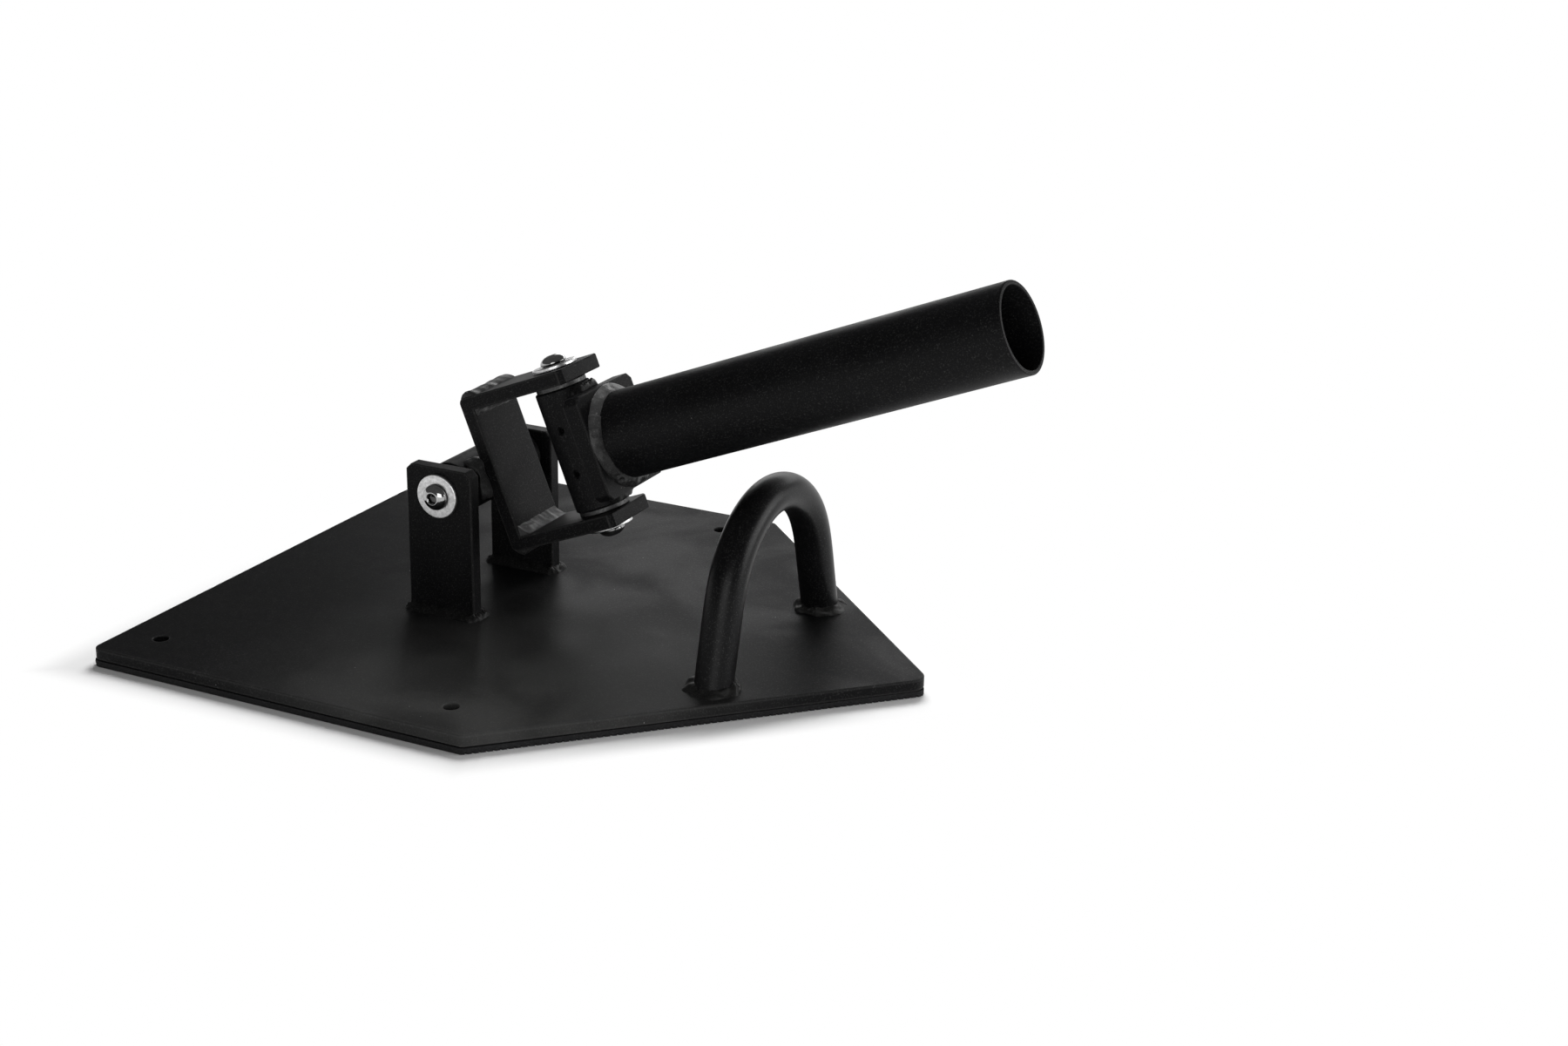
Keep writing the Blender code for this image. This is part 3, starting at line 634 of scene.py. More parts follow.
@dataclass(frozen=True)
class SaddleBead:
    """Weld all round the line where a barrel on Z touches a plate ahead of it.

    The path is a rounded rectangle in Y and Z. One toe lies on the plate, on its back face along
    the sides and on its end faces at the ends, and the other lies on the barrel, where
    x = sqrt(R^2 - y^2).

    Attributes:
        half_plate: Half the plate's length along the barrel.
        overhang: How far the bead reaches along the barrel beyond the plate.
        bulge: How far its face stands out there.
        seed: Where the unevenness starts from.
        half_width: Half the distance between its two sides.
        corner: The radius of the path's corners.
        lap: How far it laps over the plate's end faces.
        side_rise: How far its face stands out along the sides.
        side_toes: How far the toes lie outside the path on the plate and inside it on the
            barrel, along the sides.
        root_depth: How far inside the path the root lies.
        limit: How far from its middle a toe can lie on the barrel.
        uneven: How much its reach varies, as a share.
        spacing: The most that one step of the path measures.
    """

    half_plate: float
    overhang: float
    bulge: float
    seed: int
    half_width: float = 0.0125
    corner: float = 0.0035
    lap: float = 0.0019
    side_rise: float = 0.0012
    side_toes: tuple[float, float] = (0.0006, 0.0012)
    root_depth: float = 0.003
    limit: float = 0.018
    uneven: float = 0.12
    spacing: float = 0.0006

    def surface(self) -> Surface:
        """Lay the bead.

        Returns:
            The bead, in the barrel's frame.
        """
        wide, tall = self.half_width, self.half_plate
        corners = [(-wide, -tall), (wide, -tall), (wide, tall), (-wide, tall)]
        outline = subdivided(rounded(corners, [self.corner] * 4, 12), self.spacing)
        out = -unit(mitres(outline))
        ends = out[:, 1] ** 2
        random = np.random.default_rng(self.seed)
        share = np.linspace(0, 1, len(outline), endpoint=False)
        uneven = 1 + self.uneven * wobble(share, 12, random)
        outside, inside = self.side_toes
        plate_toe = outline + out * (outside * (1 - ends))[:, None]
        reach = self.overhang * ends * uneven - inside * (1 - ends)
        barrel_toe = outline + out * reach[:, None]
        sideways = barrel_toe[:, 0].clip(-self.limit, self.limit)
        on_barrel = np.sqrt(BARREL_RADIUS**2 - sideways**2)
        toe_a = np.column_stack([BAR_BACK + self.lap * ends * uneven + 0.0001, plate_toe])
        toe_b = np.column_stack([on_barrel - 0.00015, barrel_toe])
        crown = unit(np.column_stack([-0.35 * (1 - 2 * ends), out]))
        middle = on_barrel * 0.5 + BAR_BACK * 0.5
        root = np.column_stack([middle, outline - out * self.root_depth])
        side_rise = self.side_rise * (1 + 0.2 * wobble(share, 9, random))
        rise = side_rise + (self.bulge - self.side_rise) * ends
        return WeldBead(
            toe_a, toe_b, root, crown, rise, seed=self.seed, pitch=0.0028, ripple=0.00025,
            lump=0.00045, lump_length=0.007,
        ).surface()


# ---------------------------------------------------------------------------- finishes


def linear(colour: str) -> tuple[float, float, float, float]:
    """Turn an sRGB colour into a linear one.

    Args:
        colour: The colour in hexadecimal digits, such as "#1b1b1c".

    Returns:
        Red, green, blue and alpha.
    """
    shares = [int(colour[place : place + 2], 16) / 255 for place in (1, 3, 5)]
    parts = [s / 12.92 if s <= 0.04045 else ((s + 0.055) / 1.055) ** 2.4 for s in shares]
    return (*parts, 1.0)


def add_node(
    tree: bpy.types.NodeTree, kind: str, inputs: dict[str | int, Any] | None = None,
    **settings: Any,
) -> bpy.types.Node:
    """Add a node with its settings, and give each of its inputs a value or a link.

    Args:
        tree: The node tree.
        kind: The node's type.
        inputs: A value or an output socket for each input, by its name or number.
        settings: The node's own properties.

    Returns:
        The node.
    """
    node = tree.nodes.new(kind)
    for name, value in settings.items():
        setattr(node, name, value)
    for key, value in (inputs or {}).items():
        if isinstance(value, bpy.types.NodeSocket):
            tree.links.new(value, node.inputs[key])
        else:
            node.inputs[key].default_value = value
    return node


def per_metre(millimetres: float) -> float:
    """How often a pattern of this size comes in a metre."""
    return 1000 / millimetres


def blank_material(name: str) -> tuple[bpy.types.Material, bpy.types.Node, bpy.types.Node]:
    """Start a material.

    Args:
        name: Its name.

    Returns:
        The material, its shader, and the node that gives each point's own place.
    """
    material = bpy.data.materials.new(name)
    material.use_nodes = True
    tree = material.node_tree
    shader = tree.nodes["Principled BSDF"]
    return material, shader, add_node(tree, "ShaderNodeTexCoord")


@dataclass(frozen=True)
class PowderCoat:
    """Polyester powder, sprayed on steel and baked: satin, with a fine grain and dust specks.

    Attributes:
        name: The material's name.
        colour: The coat's colour.
        cloud_colour: The colour where it was handled and is a little lighter.
        worn_colour: The colour of the chips and rubbed places on edges.
        dust_and_light_colour: The colour of dust specks, and of the pool of light painted on the
            plate.
        cloud_share: How much of the lighter colour the clouds take.
        roughness: The least and the most roughness.
        gloss: The level of the mirror part.
        grain_mm: Size of the grain. The real one is about 0.2 mm and is drawn coarser to show.
        grain_height: How strongly the grain bends the light.
        peel_mm: Size of the soft waves under the grain.
        cloud_mm: Size of the clouds that handling leaves.
        patch_mm: Size of the rubbed patches on edges.
        speck_mm: Mean distance between dust specks.
        speck_size: A speck's radius as a share of that distance.
        speck_share: Share of the specks that are drawn.
        painted_light_place: The middle of a pool of light painted on the coat.
        painted_light_heart: How far from there the painted light is even.
        painted_light_reach: How far the painted light reaches from there, or 0 for none.
        painted_light_share: How much of the lighter colour the painted light lays in its middle.
    """

    name: str = "powder_coat"
    colour: str = "#0a0a0b"
    cloud_colour: str = "#0f0f10"
    worn_colour: str = "#6a6a69"
    dust_and_light_colour: str = "#8a8a88"
    cloud_share: float = 0.8
    roughness: tuple[float, float] = (0.42, 0.54)
    gloss: float = 0.08
    grain_mm: float = 0.9
    grain_height: float = 0.16
    peel_mm: float = 4.05
    cloud_mm: float = 75.0
    patch_mm: float = 4.0
    speck_mm: float = 13.0
    speck_size: float = 0.022
    speck_share: float = 0.35
    painted_light_place: tuple[float, float, float] = (0.105, -0.15, PLATE_TOP)
    painted_light_heart: float = 0.02
    painted_light_reach: float = 0.0
    painted_light_share: float = 0.12

    def material(self) -> bpy.types.Material:
        """Make the coat: clouds, grit, a painted pool of light where it has one, wear and specks
        over one tone, and a fine grain.

        Returns:
            The material.
        """
        material, shader, place = blank_material(self.name)
        tree = material.node_tree
        here = place.outputs["Object"]
        grain = add_node(
            tree, "ShaderNodeTexNoise",
            {"Vector": here, "Scale": per_metre(self.grain_mm), "Detail": 2.0},
        ).outputs[0]
        peel = add_node(
            tree, "ShaderNodeTexNoise",
            {"Vector": here, "Scale": per_metre(self.peel_mm), "Detail": 1.0},
        ).outputs[0]
        cloud = add_node(
            tree, "ShaderNodeTexNoise",
            {"Vector": here, "Scale": per_metre(self.cloud_mm), "Detail": 4.0, "Distortion": 0.7},
        ).outputs[0]
        cloud = add_node(
            tree, "ShaderNodeMapRange",
            {"Value": cloud, "From Min": 0.36, "From Max": 0.64, "To Max": self.cloud_share},
            interpolation_type="SMOOTHSTEP",
        ).outputs[0]
        tone = add_node(
            tree, "ShaderNodeMix",
            {0: cloud, 6: linear(self.colour), 7: linear(self.cloud_colour)}, data_type="RGBA",
        ).outputs[2]
        grit = add_node(
            tree, "ShaderNodeMapRange",
            {"Value": grain, "From Min": 0.55, "From Max": 0.8, "To Max": 0.22},
        ).outputs[0]
        tone = add_node(
            tree, "ShaderNodeMix", {0: grit, 6: tone, 7: linear(self.worn_colour)},
            data_type="RGBA",
        ).outputs[2]
        if self.painted_light_reach:
            tone = self.with_painted_light_pool(tree, here, cloud, tone)
        tone = self.with_wear(tree, here, tone)
        tone = self.with_specks(tree, here, tone)
        tree.links.new(tone, shader.inputs["Base Color"])
        rough = add_node(
            tree, "ShaderNodeMapRange",
            {"Value": cloud, "From Max": self.cloud_share, "To Min": self.roughness[0],
             "To Max": self.roughness[1]},
        ).outputs[0]
        tree.links.new(rough, shader.inputs["Roughness"])
        shader.inputs["Specular IOR Level"].default_value = self.gloss
        height = add_node(
            tree, "ShaderNodeMath", {0: peel, 1: 0.8, 2: grain}, operation="MULTIPLY_ADD",
        ).outputs[0]
        bump = add_node(
            tree, "ShaderNodeBump",
            {"Strength": self.grain_height, "Distance": 0.0002, "Height": height},
        )
        tree.links.new(bump.outputs[0], shader.inputs["Normal"])
        return material

    def with_painted_light_pool(
        self, tree: bpy.types.NodeTree, here: bpy.types.NodeSocket, cloud: bpy.types.NodeSocket,
        tone: bpy.types.NodeSocket,
    ) -> bpy.types.NodeSocket:
        """Paint a pool of light over the tone, which fades out from its middle.

        Args:
            tree: The node tree.
            here: Each point's own place.
            cloud: The clouds, which make the painted light uneven.
            tone: The tone so far.

        Returns:
            The tone with the painted light.
        """
        # Painted light: the tone is lifted towards light grey in a pool in front of the ears
        away = add_node(
            tree, "ShaderNodeVectorMath", {0: here, 1: self.painted_light_place}, operation="DISTANCE",
        ).outputs["Value"]
        painted_pool = add_node(
            tree, "ShaderNodeMapRange",
            {"Value": away, "From Min": self.painted_light_heart, "From Max": self.painted_light_reach,
             "To Min": self.painted_light_share, "To Max": 0.0},
            interpolation_type="SMOOTHSTEP",
        ).outputs[0]
        uneven = add_node(
            tree, "ShaderNodeMapRange",
            {"Value": cloud, "From Max": self.cloud_share, "To Min": 0.7, "To Max": 1.3},
        ).outputs[0]
        share = add_node(tree, "ShaderNodeMath", {0: painted_pool, 1: uneven}, operation="MULTIPLY")
        return add_node(
            tree, "ShaderNodeMix", {0: share.outputs[0], 6: tone, 7: linear(self.dust_and_light_colour)},
            data_type="RGBA",
        ).outputs[2]

    def with_wear(
        self, tree: bpy.types.NodeTree, here: bpy.types.NodeSocket, tone: bpy.types.NodeSocket,
    ) -> bpy.types.NodeSocket:
        """Rub the coat off in short patches along the rims.

        Args:
            tree: The node tree.
            here: Each point's own place.
            tone: The tone so far.

        Returns:
            The tone with the wear.
        """
        rim = add_node(tree, "ShaderNodeAttribute", attribute_name="rim").outputs["Fac"]
        patch = add_node(
            tree, "ShaderNodeTexNoise",
            {"Vector": here, "Scale": per_metre(self.patch_mm), "Detail": 5.0},
        ).outputs[0]
        patch = add_node(
            tree, "ShaderNodeMapRange",
            {"Value": patch, "From Min": 0.62, "From Max": 0.70, "To Min": 0.2, "To Max": 0.5},
        ).outputs[0]
        share = add_node(tree, "ShaderNodeMath", {0: rim, 1: patch}, operation="MULTIPLY")
        return add_node(
            tree, "ShaderNodeMix", {0: share.outputs[0], 6: tone, 7: linear(self.worn_colour)},
            data_type="RGBA",
        ).outputs[2]

    def with_specks(
        self, tree: bpy.types.NodeTree, here: bpy.types.NodeSocket, tone: bpy.types.NodeSocket,
    ) -> bpy.types.NodeSocket:
        """Drop a dust speck at the heart of some of the cells of a loose pattern.

        Args:
            tree: The node tree.
            here: Each point's own place.
            tone: The tone so far.

        Returns:
            The tone with the specks.
        """
        cells = add_node(
            tree, "ShaderNodeTexVoronoi", {"Vector": here, "Scale": per_metre(self.speck_mm)},
        )
        dot = add_node(
            tree, "ShaderNodeMath", {0: cells.outputs["Distance"], 1: self.speck_size},
            operation="LESS_THAN",
        ).outputs[0]
        chosen = add_node(
            tree, "ShaderNodeSeparateColor", {0: cells.outputs["Color"]},
        ).outputs[0]
        chosen = add_node(
            tree, "ShaderNodeMath", {0: chosen, 1: self.speck_share}, operation="LESS_THAN",
        ).outputs[0]
        share = add_node(tree, "ShaderNodeMath", {0: dot, 1: chosen}, operation="MULTIPLY")
        return add_node(
            tree, "ShaderNodeMix", {0: share.outputs[0], 6: tone, 7: linear(self.dust_and_light_colour)},
            data_type="RGBA",
        ).outputs[2]


@dataclass(frozen=True)
class BareMetal:
    """Metal with no coat: plated, ground or sintered.

    Attributes:
        name: The material's name.
        colour: The metal's colour.
        dull_colour: Its colour where it is dull.
        roughness: The least and the most roughness.
        mottle_mm: Size of the dull patches.
        scratch_mm: Width of the fine marks, drawn coarser than they are.
        scratch_height: How strongly the marks bend the light.
        grime_and_shade_colour: The colour of the pits, and of oily dirt with painted shade in
            joints and sockets.
        pit_mm: Size of the pits.
        pit_share: How dark the pits are, from 0 to 1.
    """

    name: str
    colour: str
    dull_colour: str
    roughness: tuple[float, float]
    mottle_mm: float
    scratch_mm: float = 0.5
    scratch_height: float = 0.15
    grime_and_shade_colour: str = "#1c1b1a"
    pit_mm: float = 1.3
    pit_share: float = 0.0

    def material(self) -> bpy.types.Material:
        """Make the metal: dull patches, pits, and grime with painted shade over one tone, and fine
        marks.

        Returns:
            The material.
        """
        material, shader, place = blank_material(self.name)
        tree = material.node_tree
        here = place.outputs["Object"]
        mottle = add_node(
            tree, "ShaderNodeTexNoise",
            {"Vector": here, "Scale": per_metre(self.mottle_mm), "Detail": 5.0,
             "Roughness": 0.65},
        ).outputs[0]
        mottle = add_node(
            tree, "ShaderNodeMapRange", {"Value": mottle, "From Min": 0.35, "From Max": 0.65},
        ).outputs[0]
        tone = add_node(
            tree, "ShaderNodeMix",
            {0: mottle, 6: linear(self.colour), 7: linear(self.dull_colour)}, data_type="RGBA",
        ).outputs[2]
        pit = add_node(
            tree, "ShaderNodeTexNoise",
            {"Vector": here, "Scale": per_metre(self.pit_mm), "Detail": 2.0},
        ).outputs[0]
        pit = add_node(
            tree, "ShaderNodeMapRange",
            {"Value": pit, "From Min": 0.66, "From Max": 0.72, "To Max": self.pit_share},
        ).outputs[0]
        # Grime and painted shade: darker where the rim marks a joint or socket, and in the pits
        rim = add_node(tree, "ShaderNodeAttribute", attribute_name="rim").outputs["Fac"]
        grime_and_shade = add_node(tree, "ShaderNodeMath", {0: rim, 1: pit}, operation="MAXIMUM").outputs[0]
        tone = add_node(
            tree, "ShaderNodeMix", {0: grime_and_shade, 6: tone, 7: linear(self.grime_and_shade_colour)},
            data_type="RGBA",
        ).outputs[2]
        tree.links.new(tone, shader.inputs["Base Color"])
        rough = add_node(
            tree, "ShaderNodeMapRange",
            {"Value": mottle, "To Min": self.roughness[0], "To Max": self.roughness[1]},
        ).outputs[0]
        tree.links.new(rough, shader.inputs["Roughness"])
        shader.inputs["Metallic"].default_value = 1.0
        marks = add_node(
            tree, "ShaderNodeTexNoise",
            {"Vector": here, "Scale": per_metre(self.scratch_mm), "Detail": 3.0},
        ).outputs[0]
        bump = add_node(
            tree, "ShaderNodeBump",
            {"Strength": self.scratch_height, "Distance": 0.0001, "Height": marks},
        )
        tree.links.new(bump.outputs[0], shader.inputs["Normal"])
        return material


def paint() -> dict[Slot | Look, bpy.types.Material]:
    """Make one material for each slot of the record, and the looks that differ from them.

    Returns:
        The materials.
    """
    finishes = {
        Slot.COAT: PowderCoat(),
        # The same coat over a bead, where it flows thicker and is a little glossier
        Slot.WELD: PowderCoat(
            name="powder_coat_on_weld", colour="#0d0d0d", cloud_colour="#151515",
            worn_colour="#6a6a68", roughness=(0.36, 0.46), gloss=0.13, cloud_mm=8.0,
            grain_height=0.16, speck_mm=5.0, speck_size=0.05, speck_share=0.06,
        ),
        # A lighter, glossier copy of the weld's coat: painted sheen where the beads catch the
        # light
        Look.WELD_SHEEN: PowderCoat(
            name="thin_coat_on_weld", colour="#161616", cloud_colour="#232323",
            worn_colour="#8a8a8a", roughness=(0.36, 0.46), gloss=0.20, cloud_mm=5.0,
            grain_height=0.2, speck_mm=4.0, speck_size=0.06, speck_share=0.1,
        ),
        # The same coat on the floor plate, with a pool of light painted on it in front of the ears
        Look.PLATE: PowderCoat(name="dusty_powder_coat", painted_light_reach=0.21),
        # The same coat on drawn round bar, which is smoother than rolled plate
        Look.ROD: PowderCoat(
            name="powder_coat_on_rod", roughness=(0.30, 0.38), gloss=0.12, grain_height=0.1,
        ),
        # Vulcanised rubber sheet: dull, greyer than the coat, with lint on it
        Slot.RUBBER: PowderCoat(
            name="ribbed_rubber", colour="#1a1a1b", cloud_colour="#222223",
            roughness=(0.72, 0.86), gloss=0.15, grain_height=0.5, speck_mm=9.0,
            speck_share=0.25,
        ),
        # Bright zinc plate on pressed and turned steel: silvery, faintly mottled
        Slot.ZINC: BareMetal(
            name="zinc_plate", colour="#e2e2e2", dull_colour="#c2c2c2",
            roughness=(0.28, 0.42), mottle_mm=2.2, pit_share=0.4,
        ),
        # Zinc plate on turned screw heads: smoother and shinier, so it mirrors the room, and
        # painted darker than the washers' zinc as painted shade, since the room that it mirrors is
        # dark
        Look.SCREW: BareMetal(
            name="polished_zinc", colour="#b4b4b4", dull_colour="#9a9a9a",
            roughness=(0.08, 0.14), mottle_mm=3.0, scratch_height=0.08,
        ),
        # Ground pin steel: even and a little darker than the plate
        Slot.GROUND: BareMetal(
            name="ground_pin_steel", colour="#bcbcbc", dull_colour="#a2a2a2",
            roughness=(0.22, 0.30), mottle_mm=9.0,
        ),
        # Sintered bush metal, oiled: grey, fine-pored and matt
        Slot.BUSH: BareMetal(
            name="sintered_bush_metal", colour="#565656", dull_colour="#444444",
            roughness=(0.46, 0.58), mottle_mm=2.5, scratch_height=0.3,
        ),
    }
    return {look: finish.material() for look, finish in finishes.items()}


# ---------------------------------------------------------------------------- pieces


@dataclass
class Assembly:
    """A sub-assembly: it makes its pieces and puts them on a body of the CAD model."""

    materials: dict[Slot | Look, bpy.types.Material]

    def add(
        self, name: str, surface: Surface, slot: Slot, body: Body, nodes: Sequence[str],
        cutters: Sequence[Surface] = (), look: Look | None = None,
    ) -> bpy.types.Object:
        """Make a surface a piece that stands for CAD nodes.

        Args:
            name: The piece's name.
            surface: Its shape in the row frame.
            slot: The record's slot that gives its finish.
            body: The body that it rides on.
            nodes: The CAD nodes that it stands for.
            cutters: Closed shapes that are taken out of it.
            look: The finish where it isn't the plain one of the slot.

        Returns:
            The piece.
        """
        piece = self.made(name, surface)
        for number, cutter in enumerate(cutters):
            self.cut(piece, self.made(f"{name}_cutter_{number}", cutter))
        piece.data.materials.clear()
        piece.data.materials.append(self.materials[look or slot])
        piece.data.shade_smooth()
        piece.data.set_sharp_from_angle(angle=SHARP)
        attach(piece, body.value)
        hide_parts(*nodes)
        LOG.info("%s: %d faces, stands for %s", name, len(piece.data.polygons), ", ".join(nodes))
        return piece

    @staticmethod
    def made(name: str, surface: Surface) -> bpy.types.Object:
        """Make a surface an object, with its doubles merged and its faces turned outwards.

        Args:
            name: The object's name.
            surface: The surface in the row frame.

        Returns:
            The object.
        """
        mesh = bpy.data.meshes.new(name)
        mesh.from_pydata(surface.points.tolist(), [], surface.faces)
        if surface.rim is not None:
            rim = mesh.attributes.new("rim", "FLOAT", "POINT")
            rim.data.foreach_set("value", surface.rim.astype(np.float32))
        shape = bmesh.new()
        shape.from_mesh(mesh)
        bmesh.ops.remove_doubles(shape, verts=shape.verts, dist=MERGE)
        bmesh.ops.recalc_face_normals(shape, faces=shape.faces)
        shape.to_mesh(mesh)
        shape.free()
        piece = bpy.data.objects.new(name, mesh)
        bpy.context.scene.collection.objects.link(piece)
        return piece

    @staticmethod
    def cut(piece: bpy.types.Object, cutter: bpy.types.Object) -> None:
        """Take one closed shape out of a piece, and remove the shape.

        Args:
            piece: The piece.
            cutter: The closed shape.
        """
        modifier = piece.modifiers.new("cut", "BOOLEAN")
        modifier.operation = "DIFFERENCE"
        modifier.solver = "EXACT"
        modifier.object = cutter
        graph = bpy.context.evaluated_depsgraph_get()
        mesh = bpy.data.meshes.new_from_object(piece.evaluated_get(graph))
        piece.modifiers.clear()
        piece.data = mesh
        bpy.data.objects.remove(cutter, do_unlink=True)

    def dress(self, frame: dict, node: str, slot: Slot) -> None:
        """Give a CAD node that stays its finish.

        Args:
            frame: The frame that was loaded.
            node: The node's name.
            slot: The slot whose finish it gets.
        """
        slots = frame["nodes"][node].material_slots
        for number in range(len(slots)):
            slots[number].material = self.materials[slot]
        LOG.info("%s: CAD form with %s", node, slot.value)


@dataclass
class FloorPlate(Assembly):
    """The floor plate: straight sides, then a nose with a point ahead, and four bolt holes."""

    width: float = 0.420
    side: float = 0.280
    nose: float = 0.212
    thickness: float = 0.008
    corner: float = 0.006
    tip: float = 0.0105
    edge: float = 0.0011
    behind_pin: float = 0.1635
    bolt_hole: float = 0.0102
    bolt_rows: tuple[float, float] = (-0.1345, 0.088)
    bolt_reach: float = 0.1775
    chips: float = 0.0006
    wear: float = 0.45
    corner_steps: int = 10
    spacing: float = 0.0022

    def build(self) -> None:
        """Make the plate: its outline carried over rounded and chipped edges."""
        half = self.width / 2
        shoulder = self.side - self.behind_pin
        nose_tip = shoulder + self.nose
        corners = [
            (-self.behind_pin, -half), (shoulder, -half), (nose_tip, 0), (shoulder, half),
            (-self.behind_pin, half),
        ]
        radii = [self.corner, self.corner, self.tip, self.corner, self.corner]
        outline = subdivided(rounded(corners, radii, self.corner_steps), self.spacing)
        holes = tuple(
            (x, sign * self.bolt_reach, self.bolt_hole / 2)
            for x in self.bolt_rows for sign in (-1, 1)
        )
        bar = FlatBar(outline, self.thickness, self.edge, holes, self.chips, self.wear)
        middle = Matrix.Translation((0, 0, PLATE_TOP - self.thickness / 2))
        self.add(
            "floor_plate", bar.surface().placed(middle), Slot.COAT, Body.BASE, ["base_plate"],
            look=Look.PLATE,
        )


@dataclass
class Ears(Assembly):
    """The two ears that carry the tilt pin, and the weld round the foot of each."""

    width: float = 0.050
    thickness: float = 0.0095
    spacing: float = 0.0905
    above_pin: float = 0.019
    chamfer: float = 0.004
    corner: float = 0.0012
    edge: float = 0.0008
    foot_corner: float = 0.0009
    support: float = 0.0006
    spacing_along: float = 0.004
    wear: float = 0.35
    pin_hole: float = 0.0103
    legs: tuple[float, float] = (0.0045, 0.0065)
    upright_leg: float = 0.8
    weld_corner: float = 0.0008
    weld_spacing: float = 0.0004

    def build(self) -> None:
        """Make both ears and their welds."""
        for side in Side:
            self.build_ear(side)
            self.build_weld(side)

    def build_ear(self, side: Side) -> None:
        """Make one ear: a bar with its two upper corners cut off.

        Args:
            side: The side that it stands on.
        """
        half, foot = self.width / 2, PLATE_TOP + GAP
        top = PIN_HEIGHT + self.above_pin
        corners = [
            (-half, foot), (half, foot), (half, top - self.chamfer), (half - self.chamfer, top),
            (self.chamfer - half, top), (-half, top - self.chamfer),
        ]
        radii = [self.foot_corner] * 2 + [self.corner] * 4
        outline = subdivided(rounded(corners, radii, 4, self.support), self.spacing_along)
        hole = (0, PIN_HEIGHT, self.pin_hole)
        bar = FlatBar(outline, self.thickness, self.edge, (hole,), wear=self.wear)
        middle = side.value * (self.spacing + self.thickness) / 2
        place = Matrix.Translation((0, middle, 0)) @ UPRIGHT
        name = "ear_" + side.name.lower()
        self.add(name + "_bar", bar.surface().placed(place), Slot.COAT, Body.BASE, [name])

    def build_weld(self, side: Side) -> None:
        """Make the weld round one ear's foot: a fillet that thickens at the bar's corners.

        Its leg is the end leg times the outward direction's share along X, plus the side leg
        times the rest.

        Args:
            side: The side that the ear stands on.
        """
        middle = side.value * (self.spacing + self.thickness) / 2
        half, depth = self.width / 2, self.thickness / 2
        corners = [(-half, -depth), (half, -depth), (half, depth), (-half, depth)]
        outline = subdivided(rounded(corners, [self.weld_corner] * 4, 10), self.weld_spacing)
        out = -unit(mitres(outline))
        share = np.abs(out[:, :1])
        legs = self.legs[0] * share + self.legs[1] * (1 - share)
        flat = np.zeros((len(outline), 1))
        root = np.concatenate([outline + [0, middle], flat + PLATE_TOP], 1)
        out = np.concatenate([out, flat], 1)
        up = np.tile([0.0, 0.0, 1.0], (len(outline), 1))
        corner_share = self.width / (2 * (self.width + self.thickness))
        marks = [
            Mark(0.008, 0.55, 0.0016, -0.0012), Mark(0.012, 0.5, 0.0008, 0.0007),
            Mark(corner_share - 0.02, 0.45, 0.0032, 0.0011), Mark(0.5, 0.5, 0.003, 0.0008),
            Mark(0.5 + corner_share, 0.4, 0.003, 0.0008),
        ]
        bead = WeldBead.fillet(
            root, out, up, (legs[:, 0], self.upright_leg * legs[:, 0]), fullness=0.56,
            uneven=0.05, runs=[Run(corner_share + 0.01, 0.03, 0.12)], seed=20 + side.value,
            pitch=0.0021, ripple=0.00022, lump=0.00022, marks=marks,
        )
        name = "ear_weld_" + side.name.lower()
        self.add(name + "_bead", bead.surface(), Slot.WELD, Body.BASE, [name])


